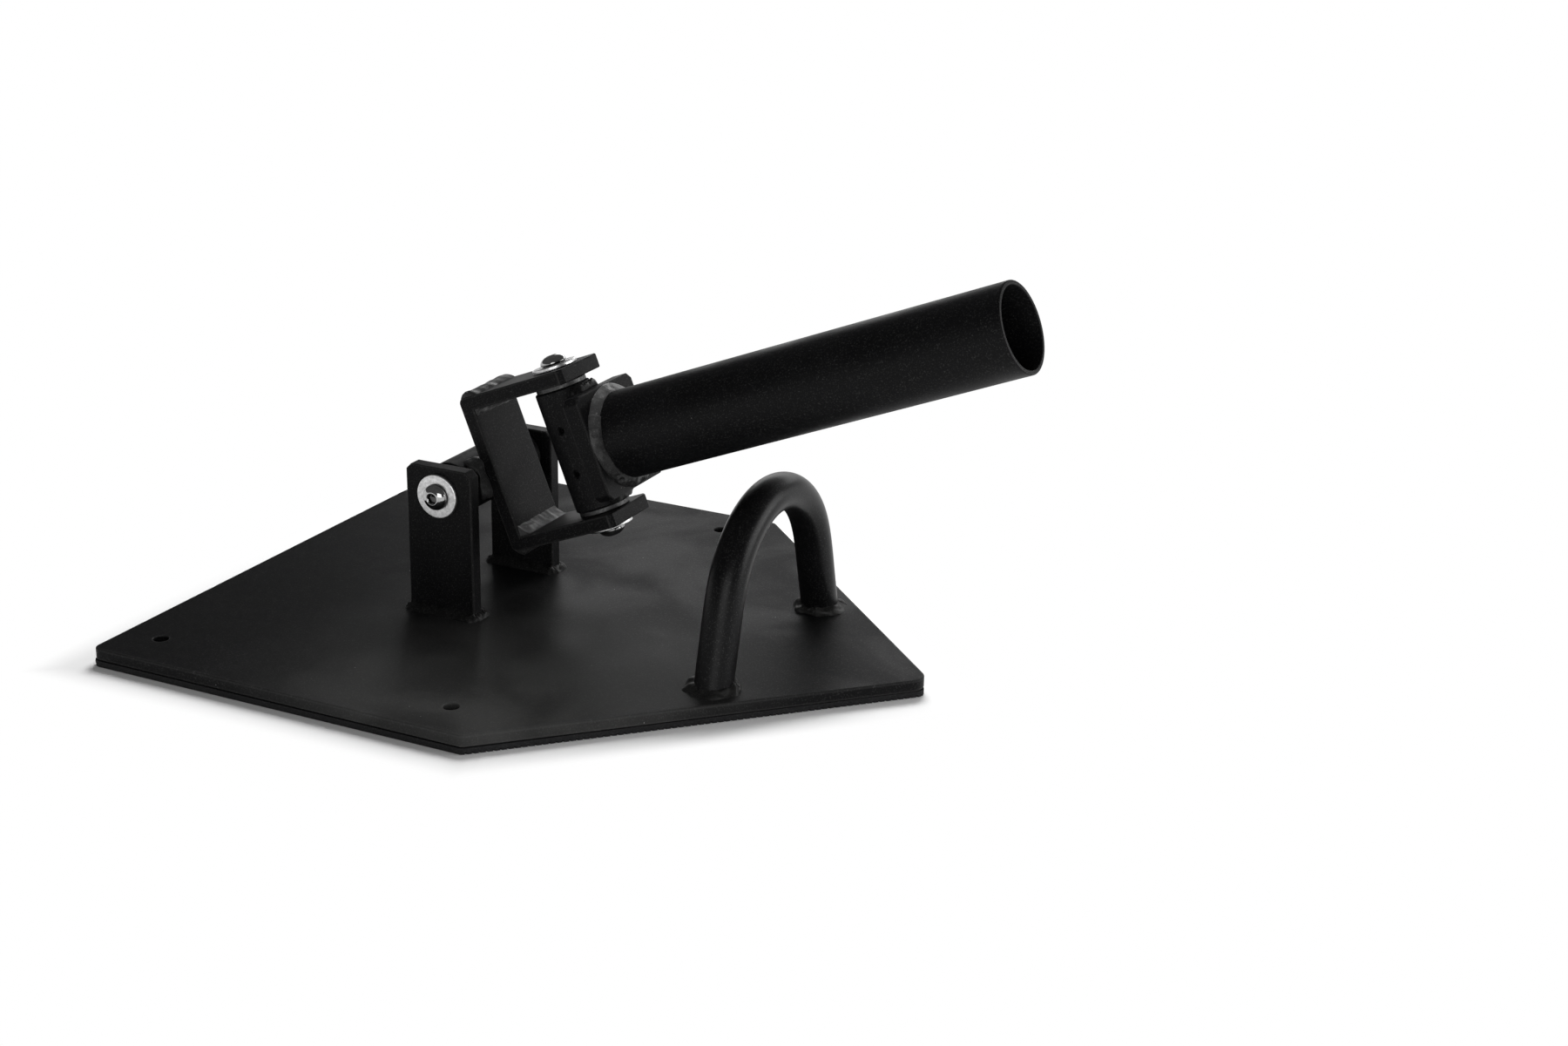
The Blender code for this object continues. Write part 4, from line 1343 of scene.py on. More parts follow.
@dataclass
class Hoop(Assembly):
    """The stop hoop: a round rod bent to an arch on two splayed legs, welded to the plate."""

    rod: float = 0.025
    ahead: float = 0.2155
    spread: float = 0.1546
    arch_radius: float = 0.0656
    arch_centre: float = 0.0373
    arch_steps: int = 88
    leg_steps: int = 14
    round_steps: int = 56
    bend_onset: float = 0.035
    leg_weld: float = 0.0056
    upright_leg: float = 0.74
    weld_steps: int = 260
    weld_wear: float = 0.3

    def path(self) -> tuple[np.ndarray, np.ndarray]:
        """Lay out the rod.

        Each leg is the tangent from its foot to the arch's circle, and the arch is
        centre + radius (cos a, sin a) between the two points of touch. Each point then becomes
        the mean of its neighbours over the length that the bend takes to set in.

        Returns:
            The rod's middle line and its unit direction, as (n, 3) each.
        """
        foot = np.array([self.spread / 2, 0.0])
        centre = np.array([0.0, self.arch_centre])
        to_foot = foot - centre
        distance = np.linalg.norm(to_foot)
        start = math.atan2(to_foot[1], to_foot[0]) + math.acos(self.arch_radius / distance)
        angle = np.linspace(start, math.pi - start, self.arch_steps + 1)
        arch = centre + self.arch_radius * np.stack([np.cos(angle), np.sin(angle)], 1)
        share = np.linspace(0, 1, self.leg_steps, endpoint=False)[:, None]
        leg = foot + share * (arch[0] - foot)
        flat = np.concatenate([leg, arch, (leg * [-1, 1])[::-1]])
        length = np.append(0, np.cumsum(np.linalg.norm(np.diff(flat, axis=0), axis=1)))
        place = np.linspace(0, length[-1], self.arch_steps + 2 * self.leg_steps + 1)
        flat = np.stack([np.interp(place, length, flat[:, axis]) for axis in (0, 1)], 1)
        reach = round(self.bend_onset / place[1] / 2)
        before = flat[0] - (flat[1:reach + 1] - flat[0])[::-1]
        after = flat[-1] - (flat[-reach - 1:-1] - flat[-1])[::-1]
        window = np.full(2 * reach + 1, 1 / (2 * reach + 1))
        longer = np.concatenate([before, flat, after])
        smooth = np.stack([np.convolve(longer[:, axis], window, "valid") for axis in (0, 1)], 1)
        flat = smooth * [1.0, flat[:, 1].max() / smooth[:, 1].max()]
        along = np.gradient(flat, axis=0)
        ahead = np.full((len(flat), 1), self.ahead)
        line = np.concatenate([ahead, flat + [0, PLATE_TOP + GAP]], 1)
        return line, unit(np.concatenate([0 * ahead, along], 1))

    def build(self) -> None:
        """Make the rod and its two welds.

        The rod is middle + radius (cos a, sin a) across it, and its ends are cut off level.
        """
        line, along = self.path()
        angle = np.linspace(0, 2 * math.pi, self.round_steps, endpoint=False)[:, None]
        across = np.cross(along, [1.0, 0.0, 0.0])[:, None]
        ring = np.cos(angle) * np.array([1.0, 0.0, 0.0]) + np.sin(angle) * across
        points = line[:, None] + ring * self.rod / 2
        for end in (0, -1):
            drop = points[end, :, 2] - PLATE_TOP - GAP
            points[end] -= along[end] * (drop / along[end, 2])[:, None]
        rod = grid(points)
        rod.faces.append(tuple(range(self.round_steps)))
        rod.faces.append(tuple(range(len(rod.points) - self.round_steps, len(rod.points))))
        self.add("hoop_rod", rod, Slot.COAT, Body.BASE, ["hoop"], look=Look.ROD)
        for side in Side:
            self.build_weld(side, along[0])

    def build_weld(self, side: Side, leg: np.ndarray) -> None:
        """Make the lumpy weld round one leg.

        Args:
            side: The side that the leg stands on.
            leg: The unit direction of the leg.
        """
        angle = np.linspace(0, 2 * math.pi, self.weld_steps, endpoint=False)
        out = np.stack([np.cos(angle), np.sin(angle), 0 * angle], 1)
        lean = np.array([0.0, -side.value * abs(leg[1] / leg[2]), 1.0])
        foot = np.array([self.ahead, side.value * self.spread / 2, PLATE_TOP])
        root = foot + out * self.rod / 2
        up = np.tile(unit(lean), (len(angle), 1))
        turn = 0.0 if side is Side.NEAR else 0.07
        runs = [
            Run(0.44 + turn, 0.10, 0.20), Run(0.72 + turn, 0.08, 0.14),
            Run(0.03 + turn, 0.1, 0.16),
        ]
        marks = [
            Mark(0.50 + turn, 0.6, 0.0034, 0.0014), Mark(0.60 + turn, 0.5, 0.0030, 0.0012),
            Mark(0.88 + turn, 0.55, 0.0032, 0.0009), Mark(0.99 - turn, 0.7, 0.0035, 0.0010),
            Mark(0.68 + turn, 0.6, 0.0020, -0.0007),
        ]
        bead = WeldBead.fillet(
            root, out, up, (self.leg_weld, self.leg_weld * self.upright_leg), fullness=0.52,
            uneven=0.12, runs=runs, seed=31 + side.value, pitch=0.0060, ripple=0.00016,
            lump=0.0006, lump_length=0.012, marks=marks, steps=18,
        )
        name = "hoop_weld_" + side.name.lower()
        surface = bead.surface()
        surface.rim = np.full(len(surface.points), self.weld_wear)
        self.add(name + "_bead", surface, Slot.WELD, Body.BASE, [name])


@dataclass
class PivotHardware(Assembly):
    """Screws, washers, barrel and bushes of one pivot, in the frame whose Z is the pin's axis."""

    prefix: str = "tilt"
    ends: tuple[str, str] = ("far", "near")
    pin_body: Body = Body.BASE
    barrel_body: Body = Body.YOKE
    place: Matrix = field(default_factory=lambda: AT_PIN @ ALONG_Y)
    spacing: float = 0.0905
    thickness: float = 0.0095
    oil_holes: bool = False
    oil_hole_reach: float = 0.015
    oil_hole_radius: float = 0.002
    oil_hole_sink: float = 0.0011
    barrel_edges: tuple[float, ...] = (0.0004, 0.0011, 0.0011, 0.0004)
    screw_shank: float = 0.005
    shank_chamfer: float = 0.0006
    screw_length: float = 0.025
    head_radius: float = 0.00875
    head_height: float = 0.0060
    head_rim: float = 0.0008
    head_bevel: tuple[float, float] = (0.0007, 0.0006)
    socket_half: float = 0.003
    socket_mouth: float = 0.0036
    socket_lip: float = 0.0005
    socket_depth: float = 0.0033
    pilot_radius: float = 0.0018
    pilot_depth: float = 0.0009
    washer_radius: float = 0.015
    washer_thickness: float = 0.0025
    washer_edges: tuple[float, ...] = (0.0002, 0.0003, 0.0007, 0.0004)
    bush_bore: float = 0.0103
    bush_wall: float = 0.0025
    bush_flange: float = 0.0042
    bush_flange_thickness: float = 0.003
    bush_length: float = 0.022
    bush_edges: tuple[float, ...] = (0.0004, 0.0004, 0, 0.0003, 0.0004, 0.0004)

    def build(self) -> None:
        """Make the hardware at both ends of the pin, and the barrel between them."""
        outer = self.spacing / 2 + self.thickness
        half = self.spacing / 2 - self.bush_flange_thickness - 2 * GAP
        for end, turn in zip(self.ends, (Matrix(), TURN_OVER)):
            seat = self.place @ turn
            washer = self.washer().placed(seat @ Matrix.Translation((0, 0, outer + GAP)))
            node = f"{self.prefix}_washer_{end}"
            self.add(node + "_disc", washer, Slot.ZINC, self.pin_body, [node])
            height = outer + self.washer_thickness + 2 * GAP
            screw = self.screw().placed(seat @ Matrix.Translation((0, 0, height)))
            node = f"{self.prefix}_screw_{end}"
            self.add(
                node + "_button", screw, Slot.ZINC, self.pin_body, [node], look=Look.SCREW,
            )
            bush = self.bush(half).placed(seat)
            node = f"{self.prefix}_bush_{end}"
            self.add(node + "_ring", bush, Slot.BUSH, self.barrel_body, [node])
        self.build_barrel(half)

    def washer(self) -> Surface:
        """A pressed washer on Z = 0, whose upper edge is rounder than the lower.

        Returns:
            The washer, a rectangle with round corners turned about Z.
        """
        inner, thick = self.screw_shank + GAP, self.washer_thickness
        corners = [
            (inner, 0), (self.washer_radius, 0), (self.washer_radius, thick), (inner, thick),
        ]
        return turned(rounded(corners, self.washer_edges, 5, 0.0004))

    def screw(self) -> Surface:
        """A button head on Z = 0 with a hexagon socket, and its shank below.

        The dome is r = R cos b, z = rim + (height - rim) sin b, and ends at the round lip of the
        socket, r = mouth + lip (1 - sin c), z = edge - lip (1 - cos c). The socket's wall follows
        the hexagon half / cos(a mod 60 - 30), so the grid's columns bend from round to hexagon.
        Oily dirt and painted shade darken the joint under the head and the socket.

        Returns:
            The screw.
        """
        angle = np.linspace(0, 2 * math.pi, 144, endpoint=False)
        hexagon = self.socket_half / np.cos(angle % (math.pi / 3) - math.pi / 6)
        dome = self.head_height - self.head_rim
        lip = self.socket_lip
        last = math.acos((self.socket_mouth + lip) / self.head_radius)
        turn = np.linspace(0, 1, 13)[:, None] * last
        bend = np.linspace(0, math.pi / 2, 6)[1:, None]
        ones = np.ones_like(angle)
        bottom = self.head_height - self.socket_depth
        edge = self.head_rim + dome * math.sin(last)
        rows = [
            (0 * ones, -self.screw_length * ones),
            ((self.screw_shank - self.shank_chamfer) * ones, -self.screw_length * ones),
            (self.screw_shank * ones, (self.shank_chamfer - self.screw_length) * ones),
            (self.screw_shank * ones, 0 * ones),
            ((self.head_radius - self.head_bevel[0]) * ones, 0 * ones),
            (self.head_radius * ones, self.head_bevel[1] * ones),
            *((self.head_radius * np.cos(b) * ones, self.head_rim + dome * np.sin(b) * ones)
              for b in turn),
            *(((self.socket_mouth + lip * (1 - np.sin(c))) * ones,
               (edge - lip * (1 - np.cos(c))) * ones) for c in bend),
            (hexagon, edge - lip - 0.0001 - (self.socket_mouth - hexagon) * 0.6),
            (hexagon * 0.995, edge - lip - 0.0005 + 0 * hexagon),
            (hexagon * 0.99, (bottom + 0.0002) * ones),
            (hexagon * 0.95, bottom * ones),
            (self.pilot_radius * ones, bottom * ones),
            (0 * ones, (bottom - self.pilot_depth) * ones),
        ]
        radius = np.stack([row[0] for row in rows])
        height = np.stack([row[1] for row in rows])
        points = np.stack([radius * np.cos(angle), radius * np.sin(angle), height], -1)
        # Painted shade, with oily dirt: darkest in the joint under the head, fading up the dome,
        # and in the socket
        grime_and_shade = np.zeros(len(rows))
        grime_and_shade[3:9] = [1.0, 1.0, 0.9, 0.6, 0.3, 0.1]
        grime_and_shade[-6:] = 0.85
        return grid(points, rim=grime_and_shade[:, None] * np.ones_like(radius))

    def bush(self, half: float) -> Surface:
        """A flanged bush in the upper end of the barrel.

        Args:
            half: Half the barrel's length.

        Returns:
            The bush, a step with round corners turned about Z.
        """
        body = self.bush_bore + self.bush_wall
        rim = body + self.bush_flange
        seat = half + GAP
        top, low = seat + self.bush_flange_thickness, half - self.bush_length
        corners = [
            (self.bush_bore, low), (body, low), (body, seat), (rim, seat), (rim, top),
            (self.bush_bore, top),
        ]
        return turned(rounded(corners, self.bush_edges, 4, 0.0003))

    def build_barrel(self, half: float) -> None:
        """Make the barrel: a tube with soft ends, and two countersunk holes where it has them.

        Args:
            half: Half the barrel's length.
        """
        bore = self.bush_bore + self.bush_wall + GAP
        corners = [(bore, -half), (BARREL_RADIUS, -half), (BARREL_RADIUS, half), (bore, half)]
        profile = rounded(corners, self.barrel_edges, 5, 0.0005)
        barrel = turned(subdivided(profile, 0.004), 112).placed(self.place)
        heights = (self.oil_hole_reach, -self.oil_hole_reach) if self.oil_holes else ()
        cutters = [self.oil_hole(height) for height in heights]
        node = self.prefix + "_barrel"
        self.add(node + "_tube", barrel, Slot.COAT, self.barrel_body, [node], cutters)

    def oil_hole(self, height: float) -> Surface:
        """Cutter of a countersunk hole through the near side of the barrel.

        Args:
            height: Its height on the barrel.

        Returns:
            The cutter, a pin with a cone turned about its axis.
        """
        hole, sink, over, inner = self.oil_hole_radius, self.oil_hole_sink, 0.002, 0.010
        corners = [
            (0, inner), (hole, inner), (hole, BARREL_RADIUS - sink),
            (hole + sink + over, BARREL_RADIUS + over), (0, BARREL_RADIUS + over),
        ]
        outward = Matrix.Translation((0, 0, height)) @ UPRIGHT
        return turned(np.array(corners), 40).placed(self.place @ outward)


@dataclass
class Yoke(Assembly):
    """The yoke: one welded frame of flat bar, in the tilted frame, and its weld beads."""

    width: float = 0.050
    thickness: float = 0.0095
    opening: float = 0.089
    back_corner: float = 0.004
    arm_front: float = 0.1023
    arm_cut: float = 0.0032
    edge: float = 0.0008
    arm_corner: float = 0.0009
    support: float = 0.0006
    spacing: float = 0.002
    wear: float = 0.4
    pin_hole: float = 0.0103
    inner_leg: float = 0.0072
    inner_weld_wear: float = 0.5
    outer_weld_rise: float = 0.0053
    outer_weld_reach: float = 0.0046
    outer_weld_wear: float = 0.12
    saddle_overhang: float = 0.0085
    saddle_bulge: float = 0.0026
    saddle_wear: tuple[float, float] = (0.4, 0.012)

    def build(self) -> None:
        """Make the frame, its corner beads and the weld to the tilt barrel."""
        nodes = ["yoke_back_bar", "yoke_arm_upper", "yoke_arm_lower"]
        reach = self.opening
        bore = [(0, -reach), (self.pin_hole, -reach), (self.pin_hole, reach), (0, reach)]
        hole = turned(np.array(bore), 64).placed(Matrix.Translation((SWIVEL_X, 0, 0)))
        self.add(
            "yoke_frame", self.frame_surface().placed(TILTED), Slot.COAT, Body.YOKE, nodes,
            [hole.placed(TILTED)],
        )
        for end in End:
            self.build_inner_weld(end)
            self.build_outer_weld(end)
        bead = SaddleBead(self.width / 2, self.saddle_overhang, self.saddle_bulge, seed=61)
        weld = bead.surface()
        height = weld.points[:, 0]
        most, depth = self.saddle_wear
        weld.rim = most * np.clip(1 - (height.max() - height) / depth, 0, 1)
        self.add(
            "tilt_barrel_bead", weld.placed(AT_PIN @ ALONG_Y_TILTED), Slot.WELD, Body.YOKE,
            ["tilt_barrel_weld"], look=Look.WELD_SHEEN,
        )

    def frame_surface(self) -> Surface:
        """Bar and arms as one outline carried along Y.

        At a distance d from a side face the outline is inset by e - sqrt(e^2 - (e - d)^2), which
        rounds its edges, and the arms' ends are shorter by c - d, which cuts their corners off.

        Returns:
            The frame, in the tilted frame.
        """
        inside, outside = self.opening / 2, self.opening / 2 + self.thickness
        corners = [
            (BAR_BACK, -outside), (self.arm_front, -outside), (self.arm_front, -inside),
            (BAR_FRONT, -inside), (BAR_FRONT, inside), (self.arm_front, inside),
            (self.arm_front, outside), (BAR_BACK, outside),
        ]
        arm = [self.arm_corner] * 2
        radii = [self.back_corner, *arm, 0, 0, *arm, self.back_corner]
        outline = subdivided(rounded(corners, radii, 6, self.support), self.spacing)
        edge, cut, half = self.edge, self.arm_cut, self.width / 2
        turn = np.linspace(0, math.pi / 2, 6)
        near_side = np.concatenate([
            [0.0], edge * (1 - np.sin(turn[::-1][1:])), [edge * 1.8],
            cut + edge * np.array([-0.35, 0.0, 0.35, 1.2]),
        ])
        inset = edge - np.sqrt(edge**2 - (edge - near_side).clip(0) ** 2)
        inset = np.concatenate([[edge * 1.8], inset])
        near_side = np.concatenate([[0.0], near_side])
        shorter = (cut - near_side).clip(0)
        shorter = shorter + 0.18 * edge * np.exp(-(((near_side - cut) / (0.5 * edge)) ** 2))
        wear = np.where((inset > 0.04 * edge) & (inset < 1.5 * edge), self.wear, 0.0)
        middle = np.linspace(-0.6, 0.6, 9) * half
        flat = np.zeros_like(middle)
        across = np.concatenate([near_side - half, middle, (half - near_side)[::-1]])
        inset, shorter, wear = (
            np.concatenate([row, flat, row[::-1]]) for row in (inset, shorter, wear)
        )
        place = outline + mitres(outline) * inset[:, None, None]
        zone = cut * 1.6
        ahead = (place[..., 0] - self.arm_front + zone).clip(0)
        x = place[..., 0] - ahead * (shorter / zone)[:, None]
        points = np.stack([x, across[:, None] + 0 * x, place[..., 1]], -1)
        surface = grid(points, rim=wear[:, None] + 0 * x)
        count = len(outline)
        for first in (0, len(surface.points) - count):
            polygon = [Vector(p) for p in surface.points[first : first + count]]
            surface.faces += [
                tuple(first + i for i in face) for face in tessellate_polygon([polygon])
            ]
        return surface

    def build_inner_weld(self, end: End) -> None:
        """Make the fillet in one inner corner, laid along Y.

        Args:
            end: The end of the bar that it lies at.
        """
        steps, margin = 150, 0.0008
        reach = self.width / 2 - margin
        y = np.linspace(-reach, reach, steps)
        root = np.stack([0 * y + BAR_FRONT, y, 0 * y + end.value * self.opening / 2], 1)
        out = np.tile([1.0, 0.0, 0.0], (steps, 1))
        up = np.tile([0.0, 0.0, -float(end.value)], (steps, 1))
        wide = {End.UPPER: 0.66, End.LOWER: 1.0}[end]
        bead = WeldBead.fillet(
            root, out, up, (self.inner_leg * wide * 1.1, self.inner_leg * wide), fullness=0.43,
            uneven=0.02, seed=41 + end.value, closed=False, pitch=0.0060, ripple=0.00004,
            lump=0.00035, lump_length=0.016, taper=0.0012, marks=[
                Mark(0.16, 0.5, 0.0036, 0.0006), Mark(0.45, 0.4, 0.0050, -0.0003),
                Mark(0.74, 0.55, 0.0040, 0.0005), Mark(0.93, 0.5, 0.0026, 0.0007),
            ],
        )
        name = "yoke_inner_weld_" + end.name.lower()
        surface = bead.surface().placed(TILTED)
        surface.rim = np.full(len(surface.points), self.inner_weld_wear)
        self.add(name + "_bead", surface, Slot.WELD, Body.YOKE, [name], look=Look.WELD_SHEEN)

    def build_outer_weld(self, end: End) -> None:
        """Make the bead over one outer corner, laid along Y.

        Its section rises straight up from the bar's back face, so it rounds the corner off. Its
        ahead toe strays with its place along the bar.

        Args:
            end: The end of the bar that it lies at.
        """
        steps, margin, sink = 170, 0.0005, 0.00015
        reach = self.width / 2 - margin
        y = np.linspace(-reach, reach, steps)
        share = np.linspace(0, 1, steps)
        random = np.random.default_rng(51 + end.value)
        face = self.opening / 2 + self.thickness - sink
        front = BAR_FRONT + self.outer_weld_reach + 0.0014 * share
        front = front + 0.0003 * wobble(share, 5, random)
        up = np.tile([0.0, 0.0, float(end.value)], (steps, 1))
        ahead = np.stack([front, y, 0 * y], 1)
        behind = np.stack([0 * y + BAR_BACK - 0.0001, y, 0 * y], 1)
        rise = self.outer_weld_rise + 0.0007 * np.exp(-(((share - 0.75) / 0.3) ** 2))
        bead = WeldBead(
            toe_a=ahead + up * face, toe_b=behind + up * (face - self.back_corner),
            root=(ahead + behind) / 2 + up * (face - self.back_corner),
            crown=unit(up - [0.42, 0.0, 0.0]),
            rise=rise + 0.00008 * wobble(share, 5, random), closed=False, pitch=0.0034,
            ripple=0.00003, lump=0.00012, lump_length=0.014,
            marks=[Mark(0.05, 0.3, 0.0014, -0.0008)], seed=51 + end.value, steps=26, taper=0.0016,
        )
        name = "yoke_outer_weld_" + end.name.lower()
        surface = bead.surface().placed(TILTED)
        surface.rim = np.full(len(surface.points), self.outer_weld_wear)
        self.add(name + "_bead", surface, Slot.WELD, Body.YOKE, [name], look=Look.WELD_SHEEN)


@dataclass
class Sleeve(Assembly):
    """The open sleeve with its square flange, in the swivel's frame."""

    bore: float = 0.026
    wall: float = 0.003
    length: float = 0.293
    flange_half: float = 0.035
    flange_thickness: float = 0.012
    flange_chamfer: float = 0.004
    flange_edge: float = 0.0009
    flange_corner: float = 0.0011
    tube_edges: tuple[float, ...] = (0.0002, 0.0002, 0.0009, 0.0007)
    tube_steps: int = 160
    weld_leg: float = 0.0054
    weld_steps: int = 520
    # The most share of lighter worn patches on the ring weld, which grow towards its top as
    # painted sheen
    weld_wear: float = 1.2
    saddle_overhang: float = 0.0048
    saddle_bulge: float = 0.0020

    def build(self) -> None:
        """Make the flange, the tube, the ring weld and the weld to the swivel barrel.

        The tube is a long rectangle with round corners, turned about its axis.
        """
        back = BARREL_RADIUS + GAP
        front = back + self.flange_thickness
        self.build_flange(back)
        start = front + GAP
        end = start + self.length
        outer = self.bore + self.wall
        corners = [(self.bore, start), (outer, start), (outer, end), (self.bore, end)]
        profile = rounded(corners, self.tube_edges, 5, 0.0008)
        tube = turned(subdivided(profile, 0.03), self.tube_steps)
        place = AT_SWIVEL @ ALONG_X
        self.add("sleeve_open_tube", tube.placed(place), Slot.COAT, Body.SLEEVE, ["sleeve_tube"])
        self.build_ring_weld(front, outer)
        bead = SaddleBead(self.flange_half, self.saddle_overhang, self.saddle_bulge, seed=73)
        weld = bead.surface().placed(AT_SWIVEL)
        self.add("swivel_barrel_bead", weld, Slot.WELD, Body.SLEEVE, ["swivel_barrel_weld"])

    def build_flange(self, back: float) -> None:
        """Make the square flange with its four corners cut off.

        Args:
            back: How far its back face lies ahead of the swivel's axis.
        """
        half, cut = self.flange_half, self.flange_half - self.flange_chamfer
        corners = [
            (-cut, -half), (cut, -half), (half, -cut), (half, cut),
            (cut, half), (-cut, half), (-half, cut), (-half, -cut),
        ]
        outline = subdivided(rounded(corners, [self.flange_corner] * 8, 4, 0.0006), 0.004)
        bar = FlatBar(outline, self.flange_thickness, self.flange_edge)
        middle = Matrix.Translation((back + self.flange_thickness / 2, 0, 0))
        surface = bar.surface().placed(AT_SWIVEL @ middle @ ALONG_X)
        self.add("sleeve_flange_plate", surface, Slot.COAT, Body.SLEEVE, ["sleeve_flange"])

    def build_ring_weld(self, front: float, radius: float) -> None:
        """Make the weld round the tube's foot, laid in three overlapping runs.

        Its lighter worn patches grow towards its top as ((1 + sin a) / 2)^2, a painted sheen where
        the light falls on it.

        Args:
            front: How far the flange's front face lies ahead of the swivel's axis.
            radius: The tube's outer radius.
        """
        angle = np.linspace(0, 2 * math.pi, self.weld_steps, endpoint=False)
        out = np.stack([0 * angle, np.cos(angle), np.sin(angle)], 1)
        root = out * radius + [front, 0, 0]
        up = np.tile([1.0, 0.0, 0.0], (len(angle), 1))
        runs = [Run(0.39, 0.06, 0.16), Run(0.07, 0.05, 0.12), Run(0.71, 0.05, 0.14)]
        marks = [
            Mark(0.455, 0.45, 0.0022, -0.0006), Mark(0.62, 0.5, 0.0016, -0.0008),
            Mark(0.64, 0.45, 0.0018, -0.0009), Mark(0.66, 0.4, 0.0020, 0.0006),
        ]
        bead = WeldBead.fillet(
            root, out, up, (self.weld_leg, self.weld_leg), fullness=0.62, uneven=0.05,
            runs=runs, seed=81, pitch=0.0034, ripple=0.00012, lump=0.00032, lump_length=0.009,
            marks=marks, steps=16,
        )
        surface = bead.surface().placed(AT_SWIVEL)
        # Painted sheen: lighter worn patches, more of them towards the top of the ring
        top_sheen = self.weld_wear * ((1 + np.sin(angle)) / 2) ** 2
        surface.rim = np.repeat(top_sheen, len(surface.points) // len(angle))
        self.add(
            "sleeve_ring_bead", surface, Slot.WELD, Body.SLEEVE, ["sleeve_weld"],
            look=Look.WELD_SHEEN,
        )


# ---------------------------------------------------------------------------- studio


@dataclass(frozen=True)
class Softbox:
    """A rectangular lamp that faces the part.

    Attributes:
        name: The lamp's name.
        azimuth: Its direction in degrees, from +Y towards -X.
        elevation: Its height in degrees.
        size: Its width and height.
        level: The brightness of its face, where 1 is white.
        distance: How far it stands from the part.
        mirrored: Whether glossy faces mirror it, or it only lights colours.
        aim: The point that it faces.
    """

    name: str
    azimuth: float
    elevation: float
    size: tuple[float, float]
    level: float
    distance: float = 2.2
    mirrored: bool = True
    aim: tuple[float, float, float] = (0.08, 0.0, 0.06)

    def build(self) -> None:
        """Make the lamp. Its power is pi times its area times its level."""
        data = bpy.data.lights.new(self.name, "AREA")
        data.shape = "RECTANGLE"
        data.size, data.size_y = self.size
        data.energy = math.pi * self.size[0] * self.size[1] * self.level
        lamp = bpy.data.objects.new(self.name, data)
        bpy.context.scene.collection.objects.link(lamp)
        turn, rise = math.radians(self.azimuth), math.radians(self.elevation)
        away = Vector((
            -math.sin(turn) * math.cos(rise), math.cos(turn) * math.cos(rise), math.sin(rise),
        ))
        lamp.location = Vector(self.aim) + away * self.distance
        lamp.rotation_euler = away.to_track_quat("Z", "Y").to_euler()
        lamp.visible_camera = False
        lamp.visible_glossy = self.mirrored


